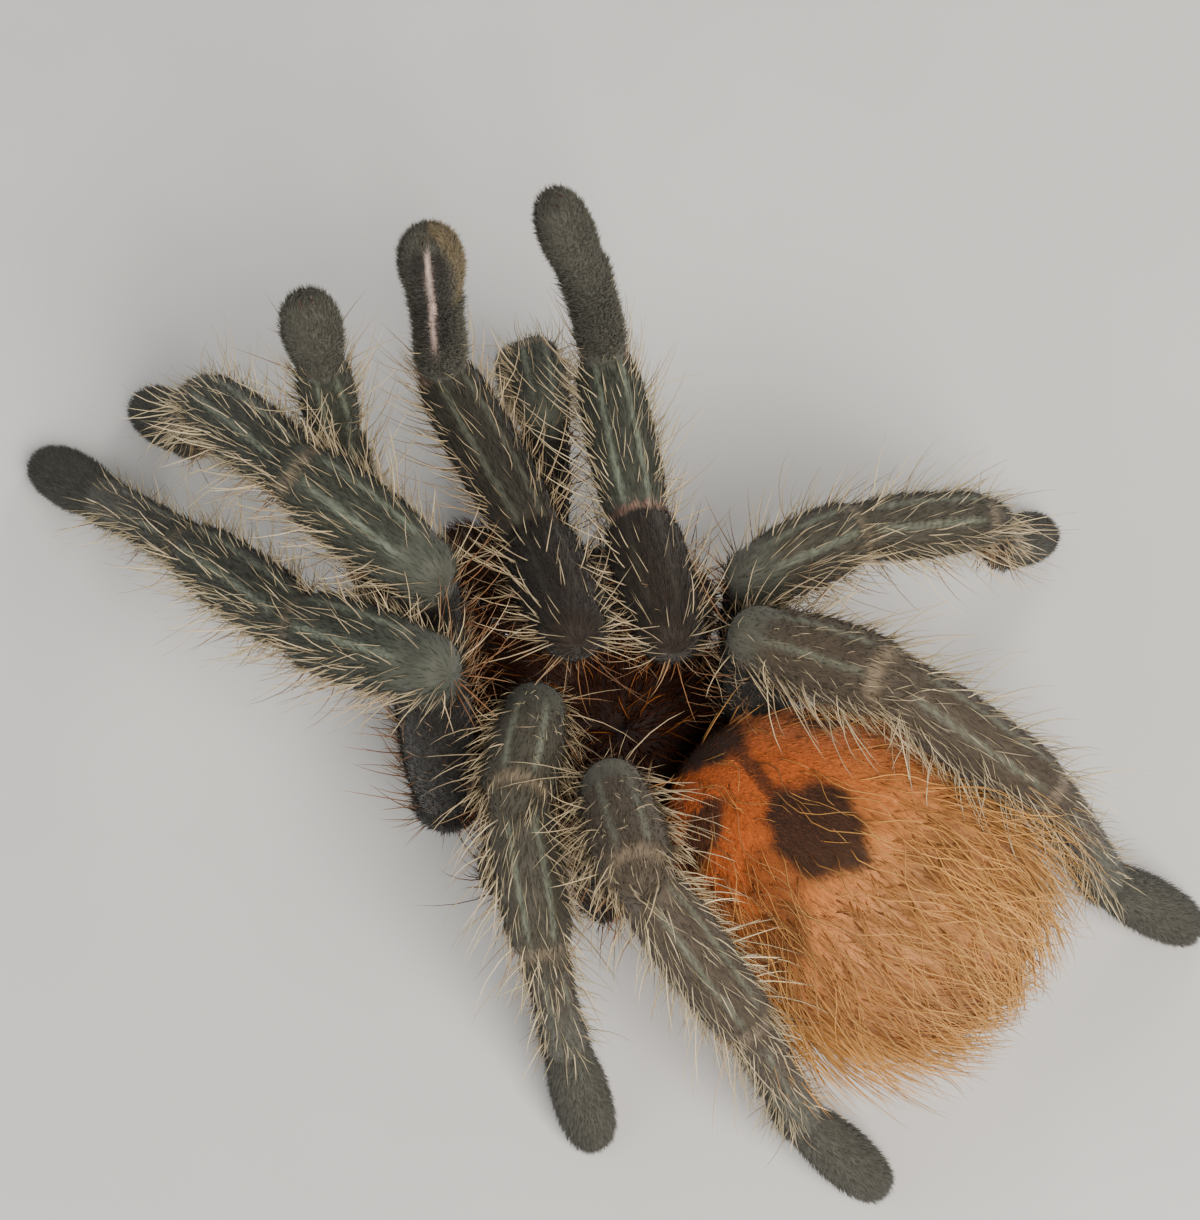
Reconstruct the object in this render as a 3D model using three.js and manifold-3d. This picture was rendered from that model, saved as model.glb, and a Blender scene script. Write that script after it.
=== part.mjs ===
// A young green bottle blue tarantula at life size, huddled, with its two right front feet raised.
// Millimetres, +Z up. The pose is set out in the animal's own frame: +Y is where the head points,
// +X is the animal's right, and z = 0 is the floor under the feet. The last step moves the finished
// group so that its origin is the middle of the bottom of its box.

import * as THREE from 'three';
import { mergeVertices } from 'three/addons/utils/BufferGeometryUtils.js';
import Module from 'manifold-3d';

const wasm = await Module();
wasm.setup();

// ---- driving dimensions -----------------------------------------------------------------------

const GAP = 0.3;                       // clearance between neighbouring sub-parts
const PAD = { share: 0.92, sink: 0.12 };  // where a foot's pad meets the floor, and the depth of its flat

const CARAPACE = { halfWidth: 4.2, halfLength: 5.1, middle: 0.4, underside: 4.3, height: 2.1 };
const HEAD_LOBE = { halfWidth: 2.5, halfLength: 2.9, middle: 2.7, height: 2.5 };
const FOVEA = { middle: -0.9, halfWidth: 0.75, halfLength: 0.28, depth: 0.9 };
const EYE_MOUND = { halfWidth: 0.95, halfLength: 0.62, middle: 4.1, base: 6.25, height: 0.6, sunk: 0.35 };
// The four eyes of one side, from the middle line out: [sideways, forward, share of the mound's height].
const EYES = [
  { place: [0.3, 0.18, 0.96], radius: 0.24 },
  { place: [0.72, 0.34, 0.62], radius: 0.17 },
  { place: [0.76, -0.12, 0.62], radius: 0.17 },
  { place: [0.52, -0.34, 0.78], radius: 0.17 },
];

const STERNUM = { halfWidth: 3.2, halfLength: 4.0, bottom: 2.0, top: 4.0 };
const COXA = { radius: 1.15, inner: 2.0, rise: 0.5, sides: 6 };
const MAXILLA_RADIUS = 0.92;
const TROCHANTER = 0.91;               // radius of a limb's second segment, as a share of its femur's
const HIP_RING = 5.8;                  // distance of the leg hips from the middle of the prosoma

const CHELICERA = {
  radius: 0.98,
  length: 4.6,
  side: 1.12,
  start: [5.0, 4.75],                  // forward and up
  pitch: -26,
  splay: 2,
  deep: 1.15,                          // depth over width
};
const FANG = { radius: 0.34, root: 0.86, reach: 1.3, turns: [10, 118], depth: 1.1, inward: 0.15 };

const ABDOMEN = {
  middle: [1.8, -9.9, 7.2],
  halfWidth: 5.2,
  halfLength: 6.4,
  halfHeight: 4.8,
  yaw: -10,
  rearSwell: 0.12,
};
const PEDICEL = { radius: 0.75, flare: 1.5, start: [0.25, -5.1, 3.9] };
const SPINNERET = {
  radius: 0.42,
  taper: 0.16,
  lengths: [0.9, 0.8, 0.8],
  side: 0.8,
  back: 0.6,                           // its root's place, as shares of the abdomen's half length
  under: 0.72,                         // and of its half height
  splay: 12,
  pitch: -40,
  curl: 14,
};

// Segment lengths of the walking legs, from the hip out: femur, patella, tibia, metatarsus, tarsus.
const LEG_LENGTHS = {
  1: [8.4, 5.0, 6.8, 6.0, 4.4],
  2: [7.8, 4.6, 6.2, 5.8, 4.2],
  3: [7.2, 4.2, 5.4, 6.0, 4.2],
  4: [8.6, 4.8, 7.0, 8.0, 4.6],
};
const LEG_RADII = { femur: 1.25, patella: 1.36, tibia: 1.25, metatarsus: 0.9, tarsus: 1.02 };
const HIPS = {
  1: { angle: 47, z: 3.6 },
  2: { angle: 17, z: 3.6 },
  3: { angle: -16, z: 3.6 },
  4: { angle: -50, z: 3.8 },
};

// Each segment points along [yaw, pitch] in degrees: yaw turns from +Y towards +X, and a pitch past
// 90 leans back over the body. A standing foot gives the height of its ankle in place of two pitches, so
// that its tarsus comes down flat on the floor, and a raised one gives both of its directions.
const LEG_POSES = {
  left_1: {
    size: 1.02, femur: [43, 76], patella: [-10, 4], tibia: [2, -30],
    foot: { yaw: 2, ankle: 3.0 },
  },
  left_2: {
    size: 1.14, femur: [33, 81], patella: [-20, -24], tibia: [-3, -29],
    foot: { yaw: -4, ankle: 2.9 },
  },
  left_3: {
    size: 0.94, femur: [-123, 122], patella: [-130, 25], tibia: [-149, -34],
    foot: { yaw: -159, ankle: 2.9 },
  },
  left_4: {
    size: 0.93, femur: [-125, 96], patella: [-150, 33], tibia: [-183, -42],
    foot: { yaw: -196, ankle: 2.8 },
  },
  right_1: {
    size: 1.02, femur: [54, 125], patella: [27, -32], tibia: [12, 12],
    foot: { raised: [[22, 92], [38, 98]] },
  },
  right_2: {
    size: 0.99, femur: [53, 121], patella: [30, -14], tibia: [31, 4],
    foot: { raised: [[-21, 82], [-42, 77]] },
  },
  right_3: {
    size: 0.93, femur: [30, 86], patella: [102, -11], tibia: [119, -16],
    foot: { yaw: 87, ankle: 2.9 },
  },
  right_4: {
    size: 0.98, femur: [183, 97], patella: [160, 20], tibia: [156, -32],
    foot: { yaw: 146, ankle: 2.9 },
  },
};

const PALP_HIP = [3.0, 6.3, 3.0];
const PALP_LENGTHS = [6.0, 3.2, 3.8, 3.3];
const PALP_RADII = { femur: 0.88, patella: 1.0, tibia: 0.98, tarsus: 1.0 };
const PALP_POSES = {
  left: { femur: [13, 47], patella: [30, 31], tibia: [22, 78], tarsus: [17, 80] },
  right: { femur: [44, 55], patella: [33, -24], tibia: [21, -92], tarsus: [25, -20] },
};

// The coat of bristles, gathered into flat tapered locks. Lift is how far a lock stands from the skin
// at its root and droop is how far it has turned back along the skin at its tip, both in degrees.
const SEED = 42;
const LOCKS = {
  femur: {
    rows: 1, around: 5, from: 0.4, to: 0.75, length: 2.6, width: 1.2, depth: 0.55,
    lift: 34, droop: 26, bends: 2,
  },
  patella: {
    rows: 2, around: 3, from: 0.3, to: 0.8, length: 2.8, width: 1.2, depth: 0.55,
    lift: 38, droop: 26, bends: 2,
  },
  tibia: {
    rows: 3, around: 3, from: 0.1, to: 0.85, length: 3.0, width: 1.25, depth: 0.6,
    lift: 40, droop: 28, bends: 2,
  },
  metatarsus: {
    rows: 1, around: 4, from: 0.25, to: 0.6, length: 2.2, width: 1.0, depth: 0.5,
    lift: 34, droop: 24, bends: 2,
  },
  abdomen: {
    rows: 7, around: 12, from: 0.14, to: 0.97, length: 3.5, width: 2.0, depth: 0.7,
    lift: 30, droop: 24, bends: 3,
  },
};
const LOCK_ROOT = { depth: 0.55, lift: 14 };  // how deep a lock is rooted, and how much steeper it starts
const LOCK_TRIES = [1, 0.8, 0.62];     // shares of its length and lift at which a lock is tried
const LOCK_EDGES = 4;                  // edges round a lock
const UNEVEN = { turn: 0.2, along: 0.35, lie: 0.25, length: 0.16, lift: 0.25 };  // how far locks differ

const SIDES = 7;                       // faces round a limb

const COLOURS = {
  leg: { color: 0x3d4a45, roughness: 0.6 },
  foot: { color: 0x4a4843, roughness: 0.8 },
  carapace: { color: 0x3a241a, roughness: 0.6 },
  underside: { color: 0x2a211d, roughness: 0.8 },
  abdomen: { color: 0xb4622c, roughness: 0.85 },
  fang: { color: 0x160d0b, roughness: 0.3 },
  eye: { color: 0x0c0c10, roughness: 0.15 },
};

// ---- directions, solids and limbs -------------------------------------------------------------

const radians = THREE.MathUtils.degToRad;

function pointing(yaw, pitch) {
  const y = radians(yaw);
  const p = radians(pitch);
  return new THREE.Vector3(Math.sin(y) * Math.cos(p), Math.cos(y) * Math.cos(p), Math.sin(p));
}

// A turn that lays +Y along a direction and keeps +Z as near to upright as it can.
function turnAlong(direction) {
  const along = direction.clone().normalize();
  const upright = Math.abs(along.z) > 0.999 ? new THREE.Vector3(0, -1, 0) : new THREE.Vector3(0, 0, 1);
  const side = new THREE.Vector3().crossVectors(along, upright).normalize();
  const up = new THREE.Vector3().crossVectors(side, along);
  return new THREE.Matrix4().makeBasis(side, along, up);
}

function solid(geometry) {
  const bare = geometry.index ? geometry.clone() : mergeVertices(geometry.clone());
  for (const name of Object.keys(bare.attributes)) {
    if (name !== 'position') bare.deleteAttribute(name);
  }
  const merged = mergeVertices(bare, 1e-5);
  return new wasm.Manifold(new wasm.Mesh({
    numProp: 3,
    vertProperties: new Float32Array(merged.attributes.position.array),
    triVerts: new Uint32Array(merged.index.array),
  }));
}

function geometryOf(manifold) {
  const mesh = manifold.getMesh();
  const geometry = new THREE.BufferGeometry();
  geometry.setAttribute('position', new THREE.BufferAttribute(new Float32Array(mesh.vertProperties), 3));
  geometry.setIndex(new THREE.BufferAttribute(new Uint32Array(mesh.triVerts), 1));
  return geometry;
}

function joined(solids) {
  return wasm.Manifold.union(solids);
}

function largest(manifold) {
  const pieces = manifold.decompose();
  return pieces.reduce((best, piece) => (piece.volume() > best.volume() ? piece : best));
}

// A round-ended form along +Y, from pairs of [share of its length, share of its widest radius].
function spindle(length, radius, shape, { grow = 0, flatten = 1, sides = SIDES } = {}) {
  const rings = shape.map(([along, share]) => new THREE.Vector2(share * radius + grow, along * length));
  rings[0].y -= grow;
  rings[rings.length - 1].y += grow;
  const ends = [new THREE.Vector2(0, -grow), new THREE.Vector2(0, length + grow)];
  return new THREE.LatheGeometry([ends[0], ...rings, ends[1]], sides).scale(1, 1, flatten);
}

// A closed form along a bent spine, as wide and deep as given at its root and thinning to a point at
// its last place. Its width lies along the side direction.
function horn(spine, halfWidth, halfDepth, side, sides) {
  const last = spine.length - 1;
  const positions = [];
  for (let i = 0; i < last; i += 1) {
    const along = new THREE.Vector3().subVectors(spine[i + 1], spine[Math.max(i - 1, 0)]).normalize();
    const across = side.clone().addScaledVector(along, -side.dot(along)).normalize();
    const up = new THREE.Vector3().crossVectors(across, along);
    const share = 1 - (i / last) ** 1.6;
    for (let k = 0; k < sides; k += 1) {
      const turn = (2 * Math.PI * k) / sides;
      const spot = spine[i].clone();
      spot.addScaledVector(across, halfWidth * share * Math.cos(turn));
      spot.addScaledVector(up, halfDepth * share * Math.sin(turn));
      positions.push(...spot);
    }
  }
  positions.push(...spine[last]);
  const tip = last * sides;
  const faces = [];
  for (let k = 0; k < sides; k += 1) {
    const next = (k + 1) % sides;
    for (let i = 0; i < last - 1; i += 1) {
      const here = i * sides;
      faces.push(here + k, here + sides + k, here + next);
      faces.push(here + next, here + sides + k, here + sides + next);
    }
    faces.push((last - 1) * sides + k, tip, (last - 1) * sides + next);
    if (k > 0 && k < sides - 1) faces.push(0, k, next);
  }
  const geometry = new THREE.BufferGeometry();
  geometry.setAttribute('position', new THREE.Float32BufferAttribute(positions, 3));
  geometry.setIndex(faces);
  return geometry;
}

function placed(geometry, start, direction) {
  const matrix = turnAlong(direction);
  matrix.setPosition(start);
  return geometry.applyMatrix4(matrix);
}

function ball(radius, centre, squash = [1, 1, 1], detail = [12, 8]) {
  const geometry = new THREE.SphereGeometry(radius, detail[0], detail[1]).rotateX(Math.PI / 2);
  return geometry.scale(...squash).translate(...centre);
}

function block(size, centre) {
  return new THREE.BoxGeometry(...size).translate(...centre);
}

const SKY = 200;                       // side of the blocks that stand for half of space

function above(height) {
  return solid(block([SKY, SKY, SKY], [0, 0, height + SKY / 2]));
}

function below(height) {
  return solid(block([SKY, SKY, SKY], [0, 0, height - SKY / 2]));
}

// Outlines of the limb segments, as spindle takes them.
const SHAPES = {
  femur: [[0.02, 0.6], [0.3, 1.0], [0.92, 0.9], [0.99, 0.5]],
  patella: [[0.02, 0.65], [0.16, 0.94], [0.6, 1.0], [0.95, 0.75]],
  tibia: [[0.02, 0.65], [0.14, 0.95], [0.55, 0.97], [0.96, 0.66]],
  metatarsus: [[0.02, 0.6], [0.14, 0.92], [0.99, 0.84]],
  tarsus: [[0.0, 0.76], [0.4, 1.0], [0.92, 0.78], [0.99, 0.4]],
  coxa: [[0.05, 0.8], [0.6, 1.0], [0.95, 0.7]],
  chelicera: [[0.02, 0.5], [0.14, 0.88], [0.5, 1.04], [0.84, 0.92], [0.98, 0.5]],
  spinneret: [[0.05, 0.8], [0.5, 1.0], [0.95, 0.7]],
};
const TARSUS_FLATTEN = 0.84;           // a tarsus is wider than it is deep
const FUSED = 0.5;                     // how far a fused segment reaches back into the one before it

function segmentSolid(kind, radius, from, to, { grow = 0, back = 0 } = {}) {
  const along = new THREE.Vector3().subVectors(to, from);
  const start = from.clone().addScaledVector(along.clone().normalize(), -back);
  const flatten = kind === 'tarsus' ? TARSUS_FLATTEN : 1;
  return solid(placed(spindle(along.length() + back, radius, SHAPES[kind], { grow, flatten }), start, along));
}

// ---- where every joint is ---------------------------------------------------------------------

function legSide(name) {
  return name.startsWith('left') ? -1 : 1;
}

function hipOf(name) {
  const { angle, z } = HIPS[name.slice(-1)];
  const x = legSide(name) * HIP_RING * Math.cos(radians(angle));
  return new THREE.Vector3(x, HIP_RING * Math.sin(radians(angle)), z);
}

function pitchTo(from, height, length) {
  const drop = THREE.MathUtils.clamp((height - from.z) / length, -1, 1);
  return THREE.MathUtils.radToDeg(Math.asin(drop));
}

// The pitch that brings the pad under a tarsus down to the floor, from an ankle at a given place.
function padPitch(ankle, length, radius) {
  const padRadius = radius * TARSUS_FLATTEN * SHAPES.tarsus[2][1];
  let pitch = -25;
  for (let i = 0; i < 4; i += 1) {
    pitch = pitchTo(ankle, padRadius * Math.cos(radians(pitch)) - PAD.sink, PAD.share * length);
  }
  return pitch;
}

function legRadius(name, kind) {
  return LEG_RADII[kind] * Math.min(LEG_POSES[name].size, 1.03);
}

function legJoints(name) {
  const pose = LEG_POSES[name];
  const lengths = LEG_LENGTHS[name.slice(-1)].map((length) => length * pose.size);
  const joints = [hipOf(name)];
  const reach = (yaw, pitch) => {
    const last = joints[joints.length - 1];
    joints.push(last.clone().addScaledVector(pointing(yaw, pitch), lengths[joints.length - 1]));
  };
  reach(...pose.femur);
  reach(...pose.patella);
  reach(...pose.tibia);
  const { yaw, ankle, raised } = pose.foot;
  if (raised) {
    for (const direction of raised) reach(...direction);
    return joints;
  }
  reach(yaw, pitchTo(joints[3], ankle, lengths[3]));
  reach(yaw, padPitch(joints[4], lengths[4], legRadius(name, 'tarsus')));
  return joints;
}

function palpJoints(side) {
  const pose = PALP_POSES[side];
  const sign = side === 'left' ? -1 : 1;
  const joints = [new THREE.Vector3(sign * PALP_HIP[0], PALP_HIP[1], PALP_HIP[2])];
  [pose.femur, pose.patella, pose.tibia, pose.tarsus].forEach(([yaw, pitch], i) => {
    joints.push(joints[i].clone().addScaledVector(pointing(yaw, pitch), PALP_LENGTHS[i]));
  });
  return joints;
}

const legNames = Object.keys(LEG_POSES);
const palpSides = Object.keys(PALP_POSES);

// ---- the body ---------------------------------------------------------------------------------

function carapaceSolid(grow = 0) {
  const base = CARAPACE.underside - grow;
  const dome = solid(ball(1, [0, CARAPACE.middle, CARAPACE.underside], [
    CARAPACE.halfWidth + grow,
    CARAPACE.halfLength + grow,
    CARAPACE.height + grow,
  ], [20, 10]));
  const head = solid(ball(1, [0, HEAD_LOBE.middle, CARAPACE.underside], [
    HEAD_LOBE.halfWidth + grow,
    HEAD_LOBE.halfLength + grow,
    HEAD_LOBE.height + grow,
  ], [14, 8]));
  const whole = dome.add(head).intersect(above(base));
  if (grow > 0) return whole;
  const fovea = solid(ball(1, [0, FOVEA.middle, CARAPACE.underside + CARAPACE.height], [
    FOVEA.halfWidth,
    FOVEA.halfLength,
    FOVEA.depth,
  ], [10, 6]));
  return whole.subtract(fovea);
}

function eyeMoundSolid() {
  const mound = solid(ball(1, [0, EYE_MOUND.middle, EYE_MOUND.base], [
    EYE_MOUND.halfWidth,
    EYE_MOUND.halfLength,
    EYE_MOUND.height + EYE_MOUND.sunk,
  ], [12, 6]));
  const eyes = [-1, 1].flatMap((sign) => EYES.map(({ place: [x, y, z], radius }) => {
    const spot = [sign * x, EYE_MOUND.middle + y, EYE_MOUND.base + z * EYE_MOUND.height];
    return solid(ball(radius, spot, [1, 1, 1], [5, 4]));
  }));
  return joined([mound, ...eyes]).subtract(carapaceSolid(GAP));
}

function coxaFor(joint, radius, grow = 0) {
  const flat = new THREE.Vector3(joint.x, joint.y, 0).normalize();
  const from = new THREE.Vector3(flat.x * COXA.inner, flat.y * COXA.inner, joint.z - COXA.rise);
  const along = new THREE.Vector3().subVectors(joint, from);
  const form = spindle(along.length(), radius, SHAPES.coxa, { grow, sides: COXA.sides });
  return solid(placed(form, from, along));
}

function sternumSolid() {
  const height = STERNUM.top - STERNUM.bottom;
  const plate = solid(ball(1, [0, 0, STERNUM.bottom + height / 2], [
    STERNUM.halfWidth,
    STERNUM.halfLength,
    height / 2,
  ], [14, 6]));
  const coxae = legNames.map((name) => coxaFor(hipOf(name), COXA.radius));
  const maxillae = palpSides.map((side) => coxaFor(palpJoints(side)[0], MAXILLA_RADIUS));
  let whole = joined([plate, ...coxae, ...maxillae]).intersect(below(CARAPACE.underside - GAP));
  for (const name of legNames) whole = whole.subtract(legFemur(name, GAP));
  for (const side of palpSides) whole = whole.subtract(palpFemur(side, GAP));
  return whole;
}

// The short second segment of a limb, which the femur is fused to.
function trochanter(joint, radius, grow = 0) {
  return solid(ball(radius + grow, joint.toArray(), [1, 1, 1], [8, 5]));
}

function cheliceraFrame(sign) {
  const start = new THREE.Vector3(sign * CHELICERA.side, ...CHELICERA.start);
  const direction = pointing(sign * CHELICERA.splay, CHELICERA.pitch);
  return { start, direction };
}

function cheliceraSolid(sign, grow = 0) {
  const { start, direction } = cheliceraFrame(sign);
  const options = { grow, flatten: CHELICERA.deep, sides: 12 };
  const form = spindle(CHELICERA.length, CHELICERA.radius, SHAPES.chelicera, options);
  return solid(placed(form, start, direction));
}

// A fang folds back under the chelicera along an arc that thins to its point.
function fangSolid(sign) {
  const { start, direction } = cheliceraFrame(sign);
  const root = start.clone().addScaledVector(direction, CHELICERA.length * FANG.root);
  const spine = [];
  const steps = 4;
  for (let i = 0; i <= steps; i += 1) {
    const share = i / steps;
    const turn = radians(FANG.turns[0] + (FANG.turns[1] - FANG.turns[0]) * share);
    spine.push(new THREE.Vector3(
      root.x - sign * FANG.inward * share,
      root.y + FANG.reach * (Math.cos(turn) - 1),
      root.z - FANG.reach * Math.sin(turn) * FANG.depth,
    ));
  }
  return solid(horn(spine, FANG.radius, FANG.radius, new THREE.Vector3(1, 0, 0), 6));
}

function abdomenPlace(geometry) {
  const matrix = new THREE.Matrix4().makeRotationZ(radians(-ABDOMEN.yaw));
  matrix.setPosition(...ABDOMEN.middle);
  return geometry.applyMatrix4(matrix);
}

// An egg with its wide end to the rear, a little flatter below.
function abdomenBody(grow = 0) {
  const profile = [];
  const steps = 11;
  for (let i = 0; i <= steps; i += 1) {
    const turn = (Math.PI * i) / steps;
    const along = Math.cos(turn);
    const swell = Math.sin(turn) * (1 - ABDOMEN.rearSwell * along);
    profile.push(new THREE.Vector2(i % steps === 0 ? 0 : swell, along));
  }
  const egg = new THREE.LatheGeometry(profile.reverse(), 16);
  egg.scale(ABDOMEN.halfWidth + grow, ABDOMEN.halfLength + grow, ABDOMEN.halfHeight + grow);
  return solid(abdomenPlace(egg));
}

function abdomenSolid() {
  const start = new THREE.Vector3(...PEDICEL.start);
  const end = new THREE.Vector3(...ABDOMEN.middle);
  const along = new THREE.Vector3().subVectors(end, start);
  const length = along.length() / 2;
  const stalk = new THREE.CylinderGeometry(PEDICEL.radius * PEDICEL.flare, PEDICEL.radius, length, 10);
  const pedicel = solid(placed(stalk.translate(0, length / 2, 0), start, along));
  const hindLegs = ['left_4', 'right_4'].flatMap((name) => [
    legFemur(name, GAP),
    legSegment(name, 'metatarsus', { grow: GAP }),
  ]);
  return abdomenBody().add(pedicel).subtract(joined([carapaceSolid(GAP), ...hindLegs]));
}

function spinneretSolid(sign) {
  const place = new THREE.Vector3(
    sign * SPINNERET.side,
    -SPINNERET.back * ABDOMEN.halfLength,
    -SPINNERET.under * ABDOMEN.halfHeight,
  );
  const turn = new THREE.Matrix4().makeRotationZ(radians(-ABDOMEN.yaw));
  let from = place.applyMatrix4(turn).add(new THREE.Vector3(...ABDOMEN.middle));
  const links = SPINNERET.lengths.map((length, i) => {
    const yaw = 180 + ABDOMEN.yaw - sign * SPINNERET.splay;
    const direction = pointing(yaw, SPINNERET.pitch + SPINNERET.curl * i);
    const radius = SPINNERET.radius * (1 - SPINNERET.taper * i);
    const form = spindle(length + radius / 2, radius, SHAPES.spinneret, { sides: 6 });
    const link = solid(placed(form, from, direction));
    from = from.clone().addScaledVector(direction, length);
    return link;
  });
  return joined(links).subtract(abdomenBody(GAP));
}

// ---- legs and palps ---------------------------------------------------------------------------

function legSegment(name, kind, options) {
  const joints = legJoints(name);
  const i = Object.keys(LEG_RADII).indexOf(kind);
  return segmentSolid(kind, legRadius(name, kind), joints[i], joints[i + 1], options);
}

function legFemur(name, grow = 0) {
  const root = trochanter(hipOf(name), LEG_RADII.femur * TROCHANTER, grow);
  return legSegment(name, 'femur', { grow }).add(root);
}

function legSolids(name) {
  const grown = (kind) => legSegment(name, kind, { grow: GAP });
  const foot = legSegment(name, 'metatarsus').add(legSegment(name, 'tarsus', { back: FUSED }));
  return {
    femur: legFemur(name).subtract(carapaceSolid(GAP)),
    patella: legSegment(name, 'patella').subtract(grown('femur')),
    tibia: legSegment(name, 'tibia').subtract(grown('patella')),
    foot: foot.subtract(grown('tibia')).intersect(above(0)),
  };
}

function palpSegment(side, kind, options) {
  const joints = palpJoints(side);
  const i = Object.keys(PALP_RADII).indexOf(kind);
  return segmentSolid(kind, PALP_RADII[kind], joints[i], joints[i + 1], options);
}

function palpFemur(side, grow = 0) {
  const root = trochanter(palpJoints(side)[0], PALP_RADII.femur * TROCHANTER, grow);
  return palpSegment(side, 'femur', { grow }).add(root);
}

function palpSolids(side) {
  const grown = (kind) => palpSegment(side, kind, { grow: GAP });
  const middle = palpSegment(side, 'patella').add(palpSegment(side, 'tibia', { back: FUSED }));
  return {
    femur: palpFemur(side),
    tibia: middle.subtract(grown('femur')),
    tarsus: palpSegment(side, 'tarsus').subtract(grown('tibia')).intersect(above(0)),
  };
}

// ---- the coat ---------------------------------------------------------------------------------

// Draws between 0 and 1 that are the same in every run.
function seededDraws(seed) {
  let state = seed;
  return () => {
    state = (state + 0x6d2b79f5) | 0;
    let mixed = Math.imul(state ^ (state >>> 15), 1 | state);
    mixed = (mixed + Math.imul(mixed ^ (mixed >>> 7), 61 | mixed)) ^ mixed;
    return ((mixed ^ (mixed >>> 14)) >>> 0) / 4294967296;
  };
}

const draw = seededDraws(SEED);

function spread(amount) {
  return (draw() * 2 - 1) * amount;
}

// One flat lock, rooted under a place on the skin. It leaves the skin between outward and its lie,
// and droops back along its lie towards its tip.
function lockSolid({ root, outward, lie }, form, share) {
  const across = new THREE.Vector3().crossVectors(outward, lie).normalize();
  const length = form.length * share;
  const spine = [root.clone().addScaledVector(outward, -LOCK_ROOT.depth)];
  for (let i = 0; i < form.bends; i += 1) {
    const first = i === 0;
    const lift = form.lift * share + (first ? LOCK_ROOT.lift : 0) - (form.droop * i) / (form.bends - 1);
    const step = first ? LOCK_ROOT.depth + length / (form.bends + 1) : length / form.bends;
    const heading = lie.clone().multiplyScalar(Math.cos(radians(lift)));
    heading.addScaledVector(outward, Math.sin(radians(lift)));
    spine.push(spine[i].clone().addScaledVector(heading, step));
  }
  return solid(horn(spine, form.width / 2, form.depth / 2, across, LOCK_EDGES));
}

// Where the locks of a limb segment are rooted: rings of places, each ring turned against the last.
function limbRoots(from, to, radius, form) {
  const along = new THREE.Vector3().subVectors(to, from);
  const frame = turnAlong(along);
  const side = new THREE.Vector3().setFromMatrixColumn(frame, 0);
  const up = new THREE.Vector3().setFromMatrixColumn(frame, 2);
  const roots = [];
  for (let row = 0; row < form.rows; row += 1) {
    for (let k = 0; k < form.around; k += 1) {
      const turn = (2 * Math.PI * (k + 0.5 * (row % 2) + spread(UNEVEN.turn))) / form.around;
      const share = form.from + ((form.to - form.from) * (row + 0.5 + spread(UNEVEN.along))) / form.rows;
      const outward = side.clone().multiplyScalar(Math.cos(turn)).addScaledVector(up, Math.sin(turn));
      const lie = along.clone().normalize();
      lie.addScaledVector(outward.clone().cross(lie), spread(UNEVEN.lie)).normalize();
      const root = from.clone().addScaledVector(along, share).addScaledVector(outward, radius * 0.95);
      roots.push({ root, outward, lie });
    }
  }
  return roots;
}

// The abdomen's locks are rooted in rings round its long axis and lie towards its rear.
function abdomenRoots(form) {
  const turnBack = new THREE.Matrix4().makeRotationZ(radians(-ABDOMEN.yaw));
  const middle = new THREE.Vector3(...ABDOMEN.middle);
  const size = new THREE.Vector3(ABDOMEN.halfWidth, ABDOMEN.halfLength, ABDOMEN.halfHeight);
  const roots = [];
  for (let row = 0; row < form.rows; row += 1) {
    const back = Math.PI * (form.from + ((form.to - form.from) * (row + 0.5)) / form.rows);
    const around = Math.max(LOCK_EDGES, Math.round(form.around * Math.sin(back)));
    for (let k = 0; k < around; k += 1) {
      const turn = (2 * Math.PI * (k + 0.5 * (row % 2) + spread(UNEVEN.turn))) / around;
      const tilt = back + spread(UNEVEN.turn / 2);
      const unit = new THREE.Vector3(Math.cos(turn), 0, Math.sin(turn)).multiplyScalar(Math.sin(tilt));
      unit.y = Math.cos(tilt);
      const outward = unit.clone().divide(size).normalize();
      const root = unit.multiply(size).multiplyScalar(0.97).applyMatrix4(turnBack).add(middle);
      const lie = new THREE.Vector3(spread(UNEVEN.lie), -1, 0);
      lie.addScaledVector(outward, -lie.dot(outward)).normalize();
      roots.push({ root, outward: outward.applyMatrix4(turnBack), lie: lie.applyMatrix4(turnBack) });
    }
  }
  return roots;
}

// ---- the model --------------------------------------------------------------------------------

const parts = new Map();

function addPart(name, manifold, look) {
  parts.set(name, { form: largest(manifold), look });
}

addPart('carapace', carapaceSolid(), 'carapace');
addPart('eye_mound', eyeMoundSolid(), 'eye');
addPart('sternum', sternumSolid(), 'underside');
addPart('abdomen', abdomenSolid(), 'abdomen');
for (const [side, sign] of [['left', -1], ['right', 1]]) {
  const coxae = legNames.map((name) => coxaFor(hipOf(name), COXA.radius, GAP));
  const palps = palpSides.map((palp) => palpFemur(palp, GAP));
  const maxillae = palpSides.map((palp) => coxaFor(palpJoints(palp)[0], MAXILLA_RADIUS, GAP));
  const neighbours = joined([carapaceSolid(GAP), ...coxae, ...maxillae, ...palps]);
  addPart(`chelicera_${side}`, cheliceraSolid(sign).subtract(neighbours), 'carapace');
  addPart(`fang_${side}`, fangSolid(sign).subtract(cheliceraSolid(sign, GAP)), 'fang');
  addPart(`spinneret_${side}`, spinneretSolid(sign), 'abdomen');
}
for (const name of legNames) {
  for (const [kind, manifold] of Object.entries(legSolids(name))) {
    addPart(`leg_${name}_${kind}`, manifold, kind === 'foot' ? 'foot' : 'leg');
  }
}
for (const side of palpSides) {
  for (const [kind, manifold] of Object.entries(palpSolids(side))) {
    addPart(`palp_${side}_${kind}`, manifold, kind === 'tarsus' ? 'foot' : 'leg');
  }
}

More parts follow.
